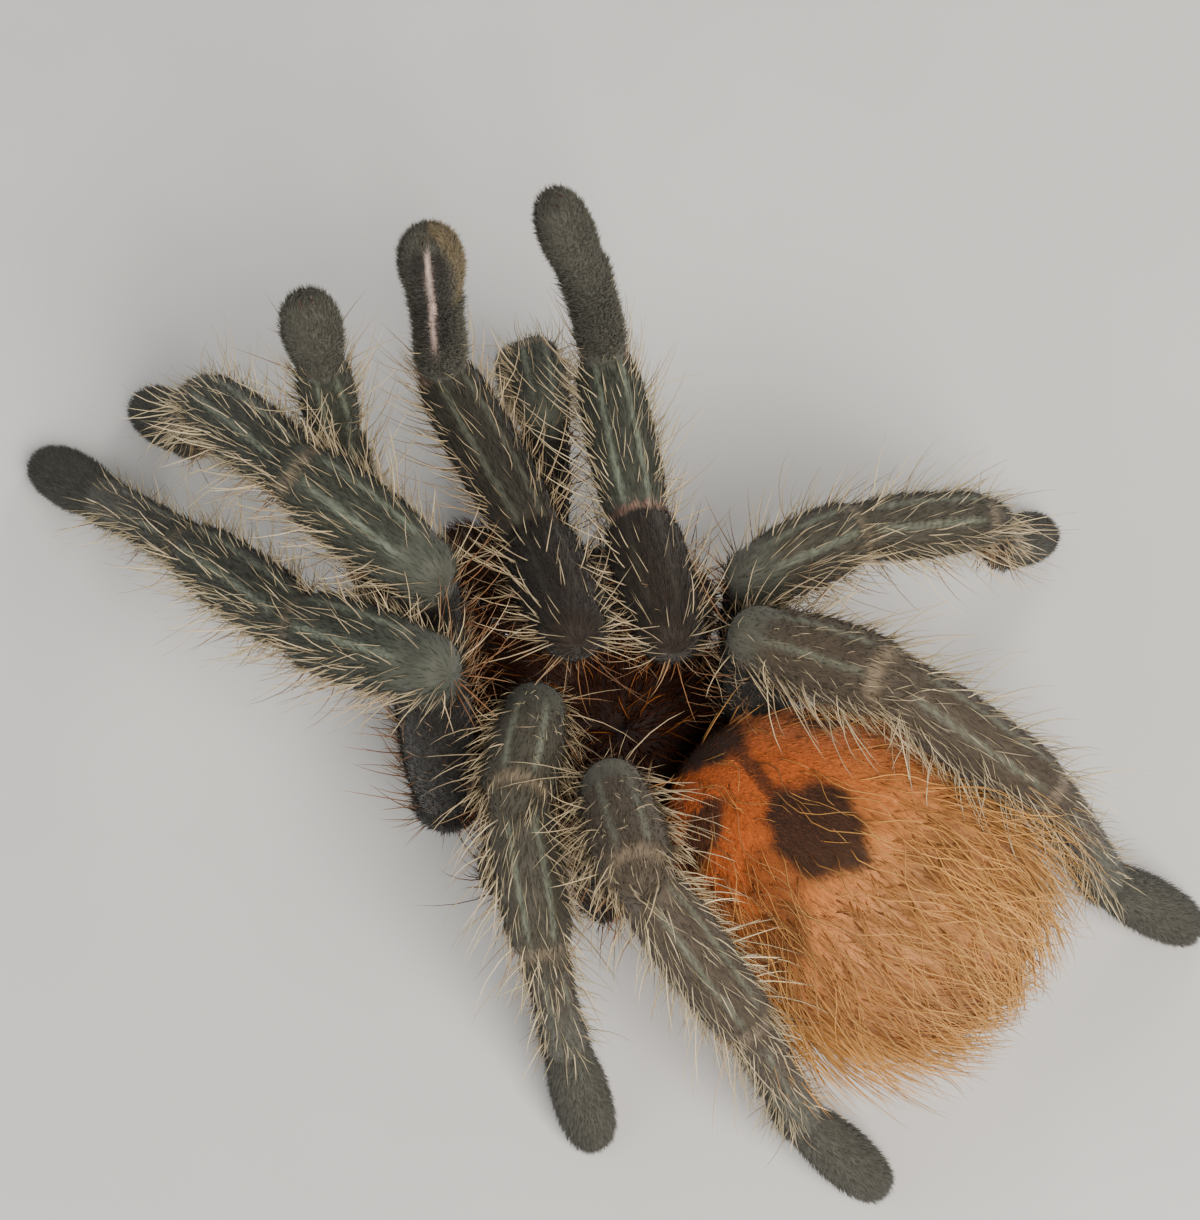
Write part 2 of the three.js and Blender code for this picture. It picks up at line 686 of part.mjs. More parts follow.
function boxOf(manifold) {
  const { min, max } = manifold.boundingBox();
  return new THREE.Box3(new THREE.Vector3(...min), new THREE.Vector3(...max));
}

// True where a lock keeps its distance from every other part and stays above the floor.
function standsClear(lock, owner) {
  const reach = boxOf(lock);
  if (reach.min.z < PAD.sink) return false;
  const near = reach.clone().expandByScalar(GAP);
  for (const [name, part] of parts) {
    if (name === owner || !near.intersectsBox(boxOf(part.form))) continue;
    if (lock.minGap(part.form, GAP) < GAP * 0.97) return false;
  }
  return true;
}

// Grows the locks of one part, each at the largest of its tries that stands clear.
function growCoat(owner, places, form) {
  const locks = [];
  for (const place of places) {
    const length = form.length * (1 + spread(UNEVEN.length));
    const lift = form.lift * (1 + spread(UNEVEN.lift));
    for (const share of LOCK_TRIES) {
      const lock = lockSolid(place, { ...form, length, lift }, share);
      if (!standsClear(lock, owner)) continue;
      locks.push(lock);
      break;
    }
  }
  const part = parts.get(owner);
  part.form = largest(joined([part.form, ...locks]));
}

growCoat('abdomen', abdomenRoots(LOCKS.abdomen), LOCKS.abdomen);
for (const name of legNames) {
  const joints = legJoints(name);
  ['femur', 'patella', 'tibia', 'metatarsus'].forEach((kind, i) => {
    const node = kind === 'metatarsus' ? 'foot' : kind;
    const roots = limbRoots(joints[i], joints[i + 1], legRadius(name, kind), LOCKS[kind]);
    growCoat(`leg_${name}_${node}`, roots, LOCKS[kind]);
  });
}

const group = new THREE.Group();
const animal = new THREE.Group();
group.add(animal);
for (const [name, { form, look }] of parts) {
  const mesh = new THREE.Mesh(geometryOf(form), new THREE.MeshStandardMaterial(COLOURS[look]));
  mesh.name = name;
  animal.add(mesh);
}

// The group's origin is the middle of the bottom of the whole model's box.
const box = new THREE.Box3().setFromObject(animal);
const middle = box.getCenter(new THREE.Vector3());
animal.position.set(-middle.x, -middle.y, -box.min.z);

export default group;
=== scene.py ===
# %% [markdown]
# # A young green bottle blue tarantula
#
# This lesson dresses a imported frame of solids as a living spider. The frame gives each part's place and
# size. The looks are made here: one skin over the whole body, eyes, fangs and claws set into it, and a
# coat of several kinds of hair that grows out of the skin.
#
# Everything that a real spider's coat does follows from where a hair is rooted: which segment it is on,
# how far along it, and whether it faces up or down. So the skin is made first, every place on it is named,
# and the colours and the coat read those names.

# %% Load the frame
import math
from collections import namedtuple

import bmesh
import bpy
import numpy as np
from mathutils import Matrix, Vector


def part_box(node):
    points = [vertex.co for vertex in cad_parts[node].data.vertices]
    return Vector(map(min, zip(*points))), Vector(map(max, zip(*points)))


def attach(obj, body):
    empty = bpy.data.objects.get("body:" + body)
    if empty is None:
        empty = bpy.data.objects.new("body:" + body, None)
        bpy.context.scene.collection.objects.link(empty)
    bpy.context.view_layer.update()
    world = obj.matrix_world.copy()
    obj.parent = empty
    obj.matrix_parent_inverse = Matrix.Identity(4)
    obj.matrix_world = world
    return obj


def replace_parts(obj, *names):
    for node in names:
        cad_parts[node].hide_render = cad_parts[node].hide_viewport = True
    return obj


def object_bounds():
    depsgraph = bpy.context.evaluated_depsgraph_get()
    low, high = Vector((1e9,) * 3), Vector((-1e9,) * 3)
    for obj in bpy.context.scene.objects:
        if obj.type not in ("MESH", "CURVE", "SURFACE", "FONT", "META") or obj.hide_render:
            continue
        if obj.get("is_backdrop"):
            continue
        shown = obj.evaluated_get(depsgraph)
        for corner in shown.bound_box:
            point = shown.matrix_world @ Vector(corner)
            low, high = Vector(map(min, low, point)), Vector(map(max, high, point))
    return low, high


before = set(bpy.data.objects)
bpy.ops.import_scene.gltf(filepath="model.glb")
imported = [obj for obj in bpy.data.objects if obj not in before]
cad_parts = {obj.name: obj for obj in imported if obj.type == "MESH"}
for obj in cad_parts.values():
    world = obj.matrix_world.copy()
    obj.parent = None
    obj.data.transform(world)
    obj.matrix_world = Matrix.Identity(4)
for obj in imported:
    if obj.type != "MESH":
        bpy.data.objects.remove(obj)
solid_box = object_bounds()
print("nodes in the frame:", len(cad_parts))

# %% [markdown]
# ## Sizes and places
#
# A spider this small is easiest to think about in millimetres, in its own frame: +Y is where it faces, +X
# is its right, +Z is up, and the floor is at zero. Blender works in metres, and the frame's origin is under
# the middle of its box. One matrix carries finished pieces across. It is measured from the carapace, whose
# low corner is known in both frames.

# %% From the animal's millimetres to the scene
MM = 0.001
CARAPACE_CORNER = Vector((-4.2, -4.7, 4.3))
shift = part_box("carapace")[0] - CARAPACE_CORNER * MM
TO_SCENE = Matrix.Translation(shift) @ Matrix.Scale(MM, 4)
print("the animal's own origin stands at", [round(value * 1000, 2) for value in shift], "mm")

# %% [markdown]
# Camera, lamps and pieces all enter the scene in one way: an object is made to hold the data, and it is
# linked to the scene's collection.

# %% Enter something in the scene
def entered(name, data):
    """A new object in the scene that holds some data."""
    made = bpy.data.objects.new(name, data)
    bpy.context.scene.collection.objects.link(made)
    return made


# %% [markdown]
# ## The camera
#
# The view looks down steeply from behind the spider's left shoulder. A long lens far away would flatten the
# raised feet, so the camera stands about as close as a phone would be held, and a portrait lens takes the
# whole animal in. The aim is a little above the spider's middle, which leaves room under the abdomen.

# %% Camera
AZIMUTH = 42.0
ELEVATION = 67.0
DISTANCE = 107.0
LENS = 89.9
SENSOR_WIDTH = 36.0
NEAREST = 0.005
AIM_ABOVE = 5.64

turned = math.radians(AZIMUTH)
raised = math.radians(ELEVATION)
level = math.cos(raised)
look = Vector((level * math.sin(turned), level * math.cos(turned), -math.sin(raised)))
right = Vector((math.cos(turned), -math.sin(turned), 0.0))
above = right.cross(look)

lens = bpy.data.cameras.new("camera")
lens.lens = LENS
lens.sensor_fit = "HORIZONTAL"
lens.sensor_width = SENSOR_WIDTH
lens.clip_start = NEAREST
camera = entered("camera", lens)
eye_point = TO_SCENE @ (above * AIM_ABOVE - look * DISTANCE)
facing = Matrix((right, above, -look)).transposed().to_4x4()
camera.matrix_world = Matrix.Translation(eye_point) @ facing
bpy.context.scene.camera = camera
print("camera height above the floor:", round(eye_point.z * 1000), "mm")

# %% [markdown]
# ## The pose
#
# A leg has five long segments after its hip: femur, patella, tibia, metatarsus and tarsus. Each points
# along a yaw and a pitch, like a small crane. A pitch past 90 degrees leans back over the body, which is how
# a huddled tarantula folds its knees above its carapace. Standing feet are given by the height of the ankle
# instead, because what matters there is that the sole lies flat on the floor.

# %% Segment lengths and directions
LEG_LENGTHS = {
    "1": (8.4, 5.0, 6.8, 6.0, 4.4),
    "2": (7.8, 4.6, 6.2, 5.8, 4.2),
    "3": (7.2, 4.2, 5.4, 6.0, 4.2),
    "4": (8.6, 4.8, 7.0, 8.0, 4.6),
}
LEG_RADII = {"femur": 1.25, "patella": 1.36, "tibia": 1.25, "metatarsus": 0.9, "tarsus": 1.02}
MOST_GIRTH = 1.03
HIP_RING = 5.8
HIPS = {"1": (47, 3.6), "2": (17, 3.6), "3": (-16, 3.6), "4": (-50, 3.8)}
LEG_POSES = {
    "left_1": dict(size=1.02, upper=((43, 76), (-10, 4), (2, -30)), yaw=2, ankle=3.0),
    "left_2": dict(size=1.14, upper=((33, 81), (-20, -24), (-3, -29)), yaw=-4, ankle=2.9),
    "left_3": dict(size=0.94, upper=((-123, 122), (-130, 25), (-149, -34)), yaw=-159, ankle=2.9),
    "left_4": dict(size=0.93, upper=((-125, 96), (-150, 33), (-183, -42)), yaw=-196, ankle=2.8),
    "right_1": dict(size=1.02, upper=((54, 125), (27, -32), (12, 12)), raised=((22, 92), (38, 98))),
    "right_2": dict(size=0.99, upper=((53, 121), (30, -14), (31, 4)), raised=((-21, 82), (-42, 77))),
    "right_3": dict(size=0.93, upper=((30, 86), (102, -11), (119, -16)), yaw=87, ankle=2.9),
    "right_4": dict(size=0.98, upper=((183, 97), (160, 20), (156, -32)), yaw=146, ankle=2.9),
}
PALP_HIP = (3.0, 6.3, 3.0)
PALP_LENGTHS = (6.0, 3.2, 3.8, 3.3)
PALP_RADII = {"femur": 0.88, "patella": 1.0, "tibia": 0.98, "tarsus": 1.0}
PALP_POSES = {
    "left": ((13, 47), (30, 31), (22, 78), (17, 80)),
    "right": ((44, 55), (33, -24), (21, -92), (25, -20)),
}
SIDES = {"left": -1, "right": 1}
SOLE = {"share": 0.92, "sink": 0.12, "flat": 0.84, "narrow": 0.78}


def pointing(yaw, pitch):
    """The direction of a yaw from +Y towards +X and a pitch up from the floor, in degrees."""
    y, p = math.radians(yaw), math.radians(pitch)
    return Vector((math.sin(y) * math.cos(p), math.cos(y) * math.cos(p), math.sin(p)))


print("straight up is", [round(value, 2) for value in pointing(0, 90)])

# %% [markdown]
# A bone is one segment with its start, its end and the direction of its back. The back is needed because
# the stripes of a leg run along its upper side, and its sole is on the lower. It turns with the pitch, so it
# stays continuous over a raised knee.

# %% Bones of the legs and palps
Bone = namedtuple("Bone", "limb kind start end back radius")
BONES = []
FOOT_GUESS = -25.0
FOOT_ROUNDS = 4


def pitch_to(start, height, length):
    """The pitch at which a segment from a start comes down, or up, to a height."""
    return math.degrees(math.asin(max(-1.0, min(1.0, (height - start.z) / length))))


def standing_foot(start, lengths, yaw, ankle, radius):
    """Directions of the last two segments, so that the sole under the tarsus meets the floor."""
    first = (yaw, pitch_to(start, ankle, lengths[0]))
    joint = start + pointing(*first) * lengths[0]
    pitch = FOOT_GUESS
    for _ in range(FOOT_ROUNDS):
        depth = radius * SOLE["flat"] * SOLE["narrow"] * math.cos(math.radians(pitch))
        pitch = pitch_to(joint, depth - SOLE["sink"], SOLE["share"] * lengths[1])
    return first, (yaw, pitch)


def add_limb(limb, hip, directions, lengths, radii):
    """Puts a limb's bones end to end from its hip."""
    start = Vector(hip)
    for (yaw, pitch), length, (kind, radius) in zip(directions, lengths, radii.items()):
        end = start + pointing(yaw, pitch) * length
        BONES.append(Bone(limb, kind, start, end, pointing(yaw, pitch + 90), radius))
        start = end


for name, pose in LEG_POSES.items():
    side, number = name.split("_")
    angle, height = HIPS[number]
    turn = math.radians(angle)
    hip = Vector((SIDES[side] * HIP_RING * math.cos(turn), HIP_RING * math.sin(turn), height))
    lengths = [length * pose["size"] for length in LEG_LENGTHS[number]]
    radii = {kind: radius * min(pose["size"], MOST_GIRTH) for kind, radius in LEG_RADII.items()}
    ankle_start = hip.copy()
    for direction, length in zip(pose["upper"], lengths):
        ankle_start += pointing(*direction) * length
    foot = pose.get("raised") or standing_foot(
        ankle_start, lengths[3:], pose["yaw"], pose["ankle"], radii["tarsus"]
    )
    add_limb(f"leg_{name}", hip, (*pose["upper"], *foot), lengths, radii)
for side, directions in PALP_POSES.items():
    hip = Vector((SIDES[side] * PALP_HIP[0], PALP_HIP[1], PALP_HIP[2]))
    add_limb(f"palp_{side}", hip, directions, PALP_LENGTHS, PALP_RADII)
print("bones in the limbs:", len(BONES))

# %% [markdown]
# ## Round forms
#
# Nearly every part of a spider is a body of revolution that has been flattened or bent a little. Spinning a
# short profile does this with few numbers. The profile is smoothed first, because a spin keeps every corner
# of it as a ridge.

# %% A spun form
SPIN_STEPS = 28
MERGE = 1e-4


def smoothed(profile, steps=5):
    """A Catmull-Rom curve through (radius, along) pairs, kept on or outside the axis."""
    points = [Vector(pair) for pair in profile]
    points = [points[0], *points, points[-1]]
    curve = []
    for before, start, end, after in zip(points, points[1:], points[2:], points[3:]):
        for step in range(steps):
            t = step / steps
            square = 2 * before - 5 * start + 4 * end - after
            cube = 3 * start - before - 3 * end + after
            curve.append((2 * start + (end - before) * t + square * t**2 + cube * t**3) / 2)
    curve.append(points[-1])
    return [(max(point.x, 0.0), point.y) for point in curve]


def spun(profile, radius, length):
    """A round form about +Y from shares of its radius and length, closed on the axis at both ends."""
    closed = [(0, profile[0][1]), *profile, (0, 1.0)]
    form = bmesh.new()
    ring = [form.verts.new((share * radius, along * length, 0.0)) for share, along in smoothed(closed)]
    edges = [form.edges.new(pair) for pair in zip(ring, ring[1:])]
    bmesh.ops.spin(
        form, geom=ring + edges, cent=(0, 0, 0), axis=(0, 1, 0), angle=math.tau,
        steps=SPIN_STEPS, use_merge=True,
    )
    bmesh.ops.remove_doubles(form, verts=form.verts, dist=MERGE)
    bmesh.ops.recalc_face_normals(form, faces=form.faces)
    return form


def ball(size, centre, steps=SPIN_STEPS):
    """A ball stretched to half sizes about a centre."""
    form = bmesh.new()
    bmesh.ops.create_uvsphere(form, u_segments=steps, v_segments=steps // 2, radius=1.0)
    bmesh.ops.scale(form, vec=size, verts=form.verts)
    bmesh.ops.translate(form, vec=centre, verts=form.verts)
    return form


print("faces in a ball:", len(ball((1, 1, 1), (0, 0, 0)).faces))

# %% [markdown]
# All the flesh is poured into one mesh, form by form. The forms overlap freely, because the skin is drawn
# over all of them afterwards.

# %% Where the flesh is collected
flesh = bmesh.new()


def pour(form, matrix=None):
    """Adds a form to the flesh, placed by a matrix."""
    if matrix is not None:
        bmesh.ops.transform(form, matrix=matrix, verts=form.verts)
    scratch = bpy.data.meshes.new("scratch")
    form.to_mesh(scratch)
    form.free()
    flesh.from_mesh(scratch)
    bpy.data.meshes.remove(scratch)


def along_bone(bone):
    """The matrix that lays a form about +Y along a bone, with its +Z to the bone's back."""
    axis = (bone.end - bone.start).normalized()
    matrix = Matrix((axis.cross(bone.back), axis, bone.back)).transposed().to_4x4()
    return Matrix.Translation(bone.start) @ matrix


print("flesh starts empty:", len(flesh.verts))

# %% [markdown]
# ## Legs and palps
#
# A segment is a stiff tube. It is narrow where it comes out of the one before, swells past its middle, and
# ends in a rim that the next one turns in. Between two rims is a soft joint, made as a ball that is a little
# slimmer than both. A tarsus is broad and flat, because a pad of hair fills its underside.

# %% The segments of the limbs
PROFILES = {
    "femur": [(0.55, 0.0), (0.84, 0.1), (0.98, 0.35), (1.0, 0.6), (0.9, 0.93), (0.5, 1.0)],
    "patella": [(0.62, 0.0), (0.86, 0.1), (1.0, 0.42), (1.0, 0.72), (0.92, 0.93), (0.6, 1.0)],
    "tibia": [(0.62, 0.0), (0.86, 0.1), (0.98, 0.34), (0.96, 0.7), (0.84, 0.93), (0.52, 1.0)],
    "metatarsus": [(0.62, 0.0), (0.92, 0.07), (0.86, 0.4), (0.84, 0.75), (0.9, 0.95), (0.5, 1.0)],
    "tarsus": [(0.62, 0.0), (0.84, 0.12), (1.0, 0.42), (0.94, 0.74), (0.66, 0.95), (0.3, 1.0)],
}
SKIN_DEPTH = 0.95
JOINT = 0.84
TROCHANTER = 0.91
BOW = {"femur": 0.035, "metatarsus": 0.02}


def add_segment(bone):
    """Pours one segment, flattened if it is a tarsus and bowed towards its back where real ones are."""
    length = (bone.end - bone.start).length
    form = spun(PROFILES[bone.kind], bone.radius * SKIN_DEPTH, length)
    if bone.kind == "tarsus":
        bmesh.ops.scale(form, vec=(1.0, 1.0, SOLE["flat"]), verts=form.verts)
    bow = BOW.get(bone.kind, 0.0) * length
    for vert in form.verts:
        vert.co.z += bow * math.sin(math.pi * max(0.0, min(1.0, vert.co.y / length)))
    pour(form, along_bone(bone))


for bone in BONES:
    add_segment(bone)
    knuckle = bone.radius * (TROCHANTER if bone.kind == "femur" else JOINT * SKIN_DEPTH)
    pour(ball((knuckle, knuckle, knuckle), bone.start, steps=20))
print("vertices in the limbs:", len(flesh.verts))

# %% [markdown]
# ## The front of the body
#
# The carapace is a low dome with a raised head at its front. Under it is the breastplate, and between them
# the coxae spread like the ribs of an umbrella, one for each limb. The palps' coxae are the spider's jaws,
# and the small plate between them is its lip.

# %% Carapace, breastplate and coxae
CARAPACE = {"size": (4.2, 5.1, 2.1), "middle": (0.0, 0.4, 4.3)}
HEAD = {"size": (2.5, 2.9, 2.5), "middle": (0.0, 2.7, 4.3)}
EYE_MOUND = {"size": (0.95, 0.62, 0.95), "middle": (0.0, 4.1, 6.25)}
STERNUM = {"size": (2.9, 3.7, 0.95), "middle": (0.0, 0.0, 3.0)}
WAIST = {"size": (3.5, 4.4, 1.5), "middle": (0.0, 0.2, 4.1)}
LIP = {"size": (0.7, 0.6, 0.5), "middle": (0.0, 3.9, 2.5)}
COXA = {"leg": 1.12, "palp": 0.9, "inner": 2.0, "rise": 0.5}
COXA_PROFILE = [(0.5, 0.0), (0.82, 0.12), (1.0, 0.55), (0.92, 0.9), (0.5, 1.0)]
PROUD = 0.985
HEM = 0.1


def shrunk(size):
    """Half sizes of a body form, a little inside the solid that it stands for."""
    return tuple(value * PROUD for value in size)


def lower_cut(form, height):
    """Closes a form off below a height."""
    cut = bmesh.ops.bisect_plane(
        form, geom=form.verts[:] + form.edges[:] + form.faces[:], plane_co=(0, 0, height),
        plane_no=(0, 0, -1), clear_outer=True,
    )
    edges = [item for item in cut["geom_cut"] if isinstance(item, bmesh.types.BMEdge)]
    bmesh.ops.holes_fill(form, edges=edges)
    return form


for part in (CARAPACE, HEAD):
    dome = ball(shrunk(part["size"]), part["middle"], steps=40)
    pour(lower_cut(dome, CARAPACE["middle"][2] - HEM))
for part in (EYE_MOUND, STERNUM, WAIST, LIP):
    pour(ball(shrunk(part["size"]), part["middle"], steps=32))
coxae = []
for bone in [bone for bone in BONES if bone.kind == "femur"]:
    family = bone.limb.split("_")[0]
    flat = Vector((bone.start.x, bone.start.y, 0.0)).normalized() * COXA["inner"]
    root = Vector((flat.x, flat.y, bone.start.z - COXA["rise"]))
    coxae.append(Bone(bone.limb, "coxa", root, bone.start, Vector((0, 0, 1)), COXA[family]))
for bone in coxae:
    form = spun(COXA_PROFILE, bone.radius * SKIN_DEPTH, (bone.end - bone.start).length)
    pour(form, along_bone(bone))
BONES += coxae
print("coxae round the breastplate:", len(coxae))

# %% [markdown]
# ## Chelicerae
#
# The chelicerae are the two swollen blocks in front of the head, each carrying a fang folded back under it.
# They are deeper than wide and bulge most on top, just in front of the eyes.

# %% Chelicerae
CHELICERA = {
    "radius": 0.98, "length": 4.6, "deep": 1.15,
    "side": 1.12, "start": (5.0, 4.75), "pitch": -26, "splay": 2,
}
CHELICERA_PROFILE = [(0.6, 0.0), (0.88, 0.12), (1.04, 0.42), (0.98, 0.74), (0.7, 0.95)]

chelicerae = []
for side, sign in SIDES.items():
    start = Vector((sign * CHELICERA["side"], *CHELICERA["start"]))
    heading = pointing(sign * CHELICERA["splay"], CHELICERA["pitch"])
    back = pointing(sign * CHELICERA["splay"], CHELICERA["pitch"] + 90)
    end = start + heading * CHELICERA["length"]
    bone = Bone(f"chelicera_{side}", "chelicera", start, end, back, CHELICERA["radius"])
    form = spun(CHELICERA_PROFILE, CHELICERA["radius"] * SKIN_DEPTH, CHELICERA["length"])
    bmesh.ops.scale(form, vec=(1.0, 1.0, CHELICERA["deep"]), verts=form.verts)
    pour(form, along_bone(bone))
    chelicerae.append(bone)
BONES += chelicerae
print("chelicerae:", len(chelicerae))

# %% [markdown]
# ## The abdomen
#
# The abdomen is a soft bag, fuller behind than in front, that hangs from the body by a thin stalk. Two
# spinnerets of three short segments point back from under its end. It is swung a little to the spider's
# right.

# %% Abdomen, stalk and spinnerets
ABDOMEN = {"size": (5.2, 6.4, 4.8), "middle": (1.8, -9.9, 7.2), "yaw": -10, "swell": 0.12}
PEDICEL = {"radius": 0.75, "flare": 1.5, "start": (0.25, -5.1, 3.9), "reach": 0.5}
PEDICEL_PROFILE = [(1.0, -0.3), (1.0, 0.2), (PEDICEL["flare"], 0.9)]
SPINNERET = {
    "radius": 0.42, "taper": 0.16, "lengths": (0.9, 0.8, 0.8),
    "side": 0.8, "back": 0.6, "under": 0.72, "splay": 12, "pitch": -40, "curl": 14,
}
SPINNERET_PROFILE = [(0.7, 0.0), (0.95, 0.2), (1.0, 0.6), (0.75, 0.93), (0.4, 1.0)]

swing = Matrix.Rotation(math.radians(-ABDOMEN["yaw"]), 4, "Z")
abdomen_matrix = Matrix.Translation(ABDOMEN["middle"]) @ swing
egg = ball((1, 1, 1), (0, 0, 0), steps=48)
for vert in egg.verts:
    fuller = 1.0 - ABDOMEN["swell"] * vert.co.y
    vert.co.x *= fuller
    vert.co.z *= fuller
bmesh.ops.scale(egg, vec=shrunk(ABDOMEN["size"]), verts=egg.verts)
pour(egg, abdomen_matrix)

stalk_start = Vector(PEDICEL["start"])
stalk_end = stalk_start.lerp(Vector(ABDOMEN["middle"]), PEDICEL["reach"])
stalk = Bone("abdomen", "stalk", stalk_start, stalk_end, Vector((0, 0, 1)), PEDICEL["radius"])
stalk_form = spun(PEDICEL_PROFILE, PEDICEL["radius"], (stalk_end - stalk_start).length)
pour(stalk_form, along_bone(stalk))

for side, sign in SIDES.items():
    back, under = SPINNERET["back"] * ABDOMEN["size"][1], SPINNERET["under"] * ABDOMEN["size"][2]
    start = abdomen_matrix @ Vector((sign * SPINNERET["side"], -back, -under))
    for i, length in enumerate(SPINNERET["lengths"]):
        yaw = 180 + ABDOMEN["yaw"] - sign * SPINNERET["splay"]
        pitch = SPINNERET["pitch"] + SPINNERET["curl"] * i
        radius = SPINNERET["radius"] * (1 - SPINNERET["taper"] * i)
        end = start + pointing(yaw, pitch) * length
        bone = Bone(f"spinneret_{side}", "spinneret", start, end, pointing(yaw, pitch + 90), radius)
        form = spun(SPINNERET_PROFILE, radius * SKIN_DEPTH, length + radius / 2)
        pour(form, along_bone(bone))
        BONES.append(bone)
        start = end
print("bones in all:", len(BONES))

# %% [markdown]
# ## One skin
#
# The forms overlap, and a union of over a hundred would leave sharp seams. A voxel remesh draws one closed
# surface over everything at once and rounds each join by about a voxel, which is how skin crosses a joint.
# A little smoothing takes the steps out. The soles are then pressed flat on the floor.

# %% Draw the skin over the flesh
VOXEL = 0.184
RELAX = {"factor": 0.5, "iterations": 3}
FLOOR_FILM = 0.02

for vert in flesh.verts:
    vert.co.z = max(vert.co.z, FLOOR_FILM)
flesh_mesh = bpy.data.meshes.new("flesh")
flesh.to_mesh(flesh_mesh)
flesh.free()
flesh_object = entered("flesh", flesh_mesh)
remesh = flesh_object.modifiers.new("remesh", "REMESH")
remesh.mode = "VOXEL"
remesh.voxel_size = VOXEL
relax = flesh_object.modifiers.new("relax", "SMOOTH")
relax.factor = RELAX["factor"]
relax.iterations = RELAX["iterations"]
depsgraph = bpy.context.evaluated_depsgraph_get()
skin_mesh = bpy.data.meshes.new_from_object(flesh_object.evaluated_get(depsgraph))
bpy.data.objects.remove(flesh_object)
bpy.data.meshes.remove(flesh_mesh)
print("skin:", len(skin_mesh.vertices), "vertices,", len(skin_mesh.polygons), "faces")

# %% [markdown]
# ## Naming every place on the skin
#
# Each point of the skin belongs to the form that it is nearest to, measured in that form's own radius. From
# that come how far along the form it is, how far round from the form's back, and which way hair lies there:
# to the tip on a limb, to the rear on the abdomen, and out from the middle groove on the carapace.

# %% Where a point is on the body
Place = namedtuple("Place", "point normal part kind along around lie")
BODIES = {
    "carapace": CARAPACE, "head": HEAD, "eye_mound": EYE_MOUND, "sternum": STERNUM, "abdomen": ABDOMEN,
}
PART_KINDS = np.array([bone.kind for bone in BONES] + list(BODIES))
PART_LIMBS = np.array([bone.limb for bone in BONES] + list(BODIES))
FOVEA = np.array((0.0, -0.9))
CARAPACE_REACH = 6.0
REARWARD = np.array((0.0, -1.0, -0.1))
TO_ABDOMEN = np.array(abdomen_matrix.to_3x3().inverted())


def dot(a, b):
    """Dot products of rows."""
    return (a * b).sum(axis=-1)


def unit(rows):
    """Rows scaled to length one."""
    return rows / np.maximum(np.linalg.norm(rows, axis=-1, keepdims=True), 1e-9)


def local(points, body):
    """Points in a body's own axes, in shares of its half sizes."""
    offset = points - np.array(body["middle"])
    if "yaw" in body:
        offset = offset @ TO_ABDOMEN.T
    return offset / np.array(body["size"])


def locate(points, normals):
    """Names each point's part and finds its place and lie there."""
    nearest = np.full(len(points), np.inf)
    part = np.zeros(len(points), int)
    along = np.zeros(len(points))
    around = np.zeros(len(points))
    lie = np.zeros((len(points), 3))
    for index, bone in enumerate(BONES):
        start, axis, back = (np.array(way) for way in (bone.start, bone.end - bone.start, bone.back))
        share = (points - start) @ axis / (axis @ axis)
        off = points - start - np.clip(share, 0, 1)[:, None] * axis
        distance = np.linalg.norm(off, axis=1) / bone.radius
        near = distance < nearest
        nearest[near], part[near], along[near], lie[near] = distance[near], index, share[near], axis
        side = np.cross(axis / np.linalg.norm(axis), back)
        around[near] = np.arctan2(off[near] @ side, off[near] @ back)
    for number, (name, body) in enumerate(BODIES.items()):
        inside = local(points, body)
        distance = np.linalg.norm(inside, axis=1)
        near = distance < nearest
        nearest[near], part[near] = distance[near], len(BONES) + number
        if name == "abdomen":
            along[near] = (np.arccos(np.clip(inside[:, 1] / distance, -1, 1)) / math.pi)[near]
            around[near] = np.arctan2(inside[:, 0], inside[:, 2])[near]
            lie[near] = REARWARD @ TO_ABDOMEN
        else:
            out = points[:, :2] - FOVEA
            along[near] = (np.linalg.norm(out, axis=1) / CARAPACE_REACH)[near]
            around[near] = np.arctan2(out[:, 0], out[:, 1])[near]
            lie[near] = np.column_stack((unit(out), np.zeros(len(out))))[near]
    lie = unit(lie - normals * dot(lie, normals)[:, None])
    return Place(points, normals, part, PART_KINDS[part], along, around, lie)


print("named parts:", sorted(set(PART_KINDS.tolist())))

# %% [markdown]
# The carapace has a short cross groove behind its middle, grooves that ray out from it to the legs, and two
# that mark off the head. They are pressed into the skin as soft dents, deepest halfway out.

# %% Grooves of the carapace
RAYS = {"turns": (62, 98, 138), "wide": 0.16, "deep": 0.14}
HEAD_GROOVE = {"turn": 33, "wide": 0.2, "deep": 0.26}
FOVEA_DENT = {"half": (0.75, 0.24), "deep": 0.5}
HALFWAY = {"far": 2.2, "wide": 1.3}
ABOVE_HEM = 4.6


def vertex_rows(mesh, key):
    """One vector for each vertex of a mesh, such as its place or its normal."""
    rows = np.empty(len(mesh.vertices) * 3)
    mesh.vertices.foreach_get(key, rows)
    return rows.reshape(-1, 3)


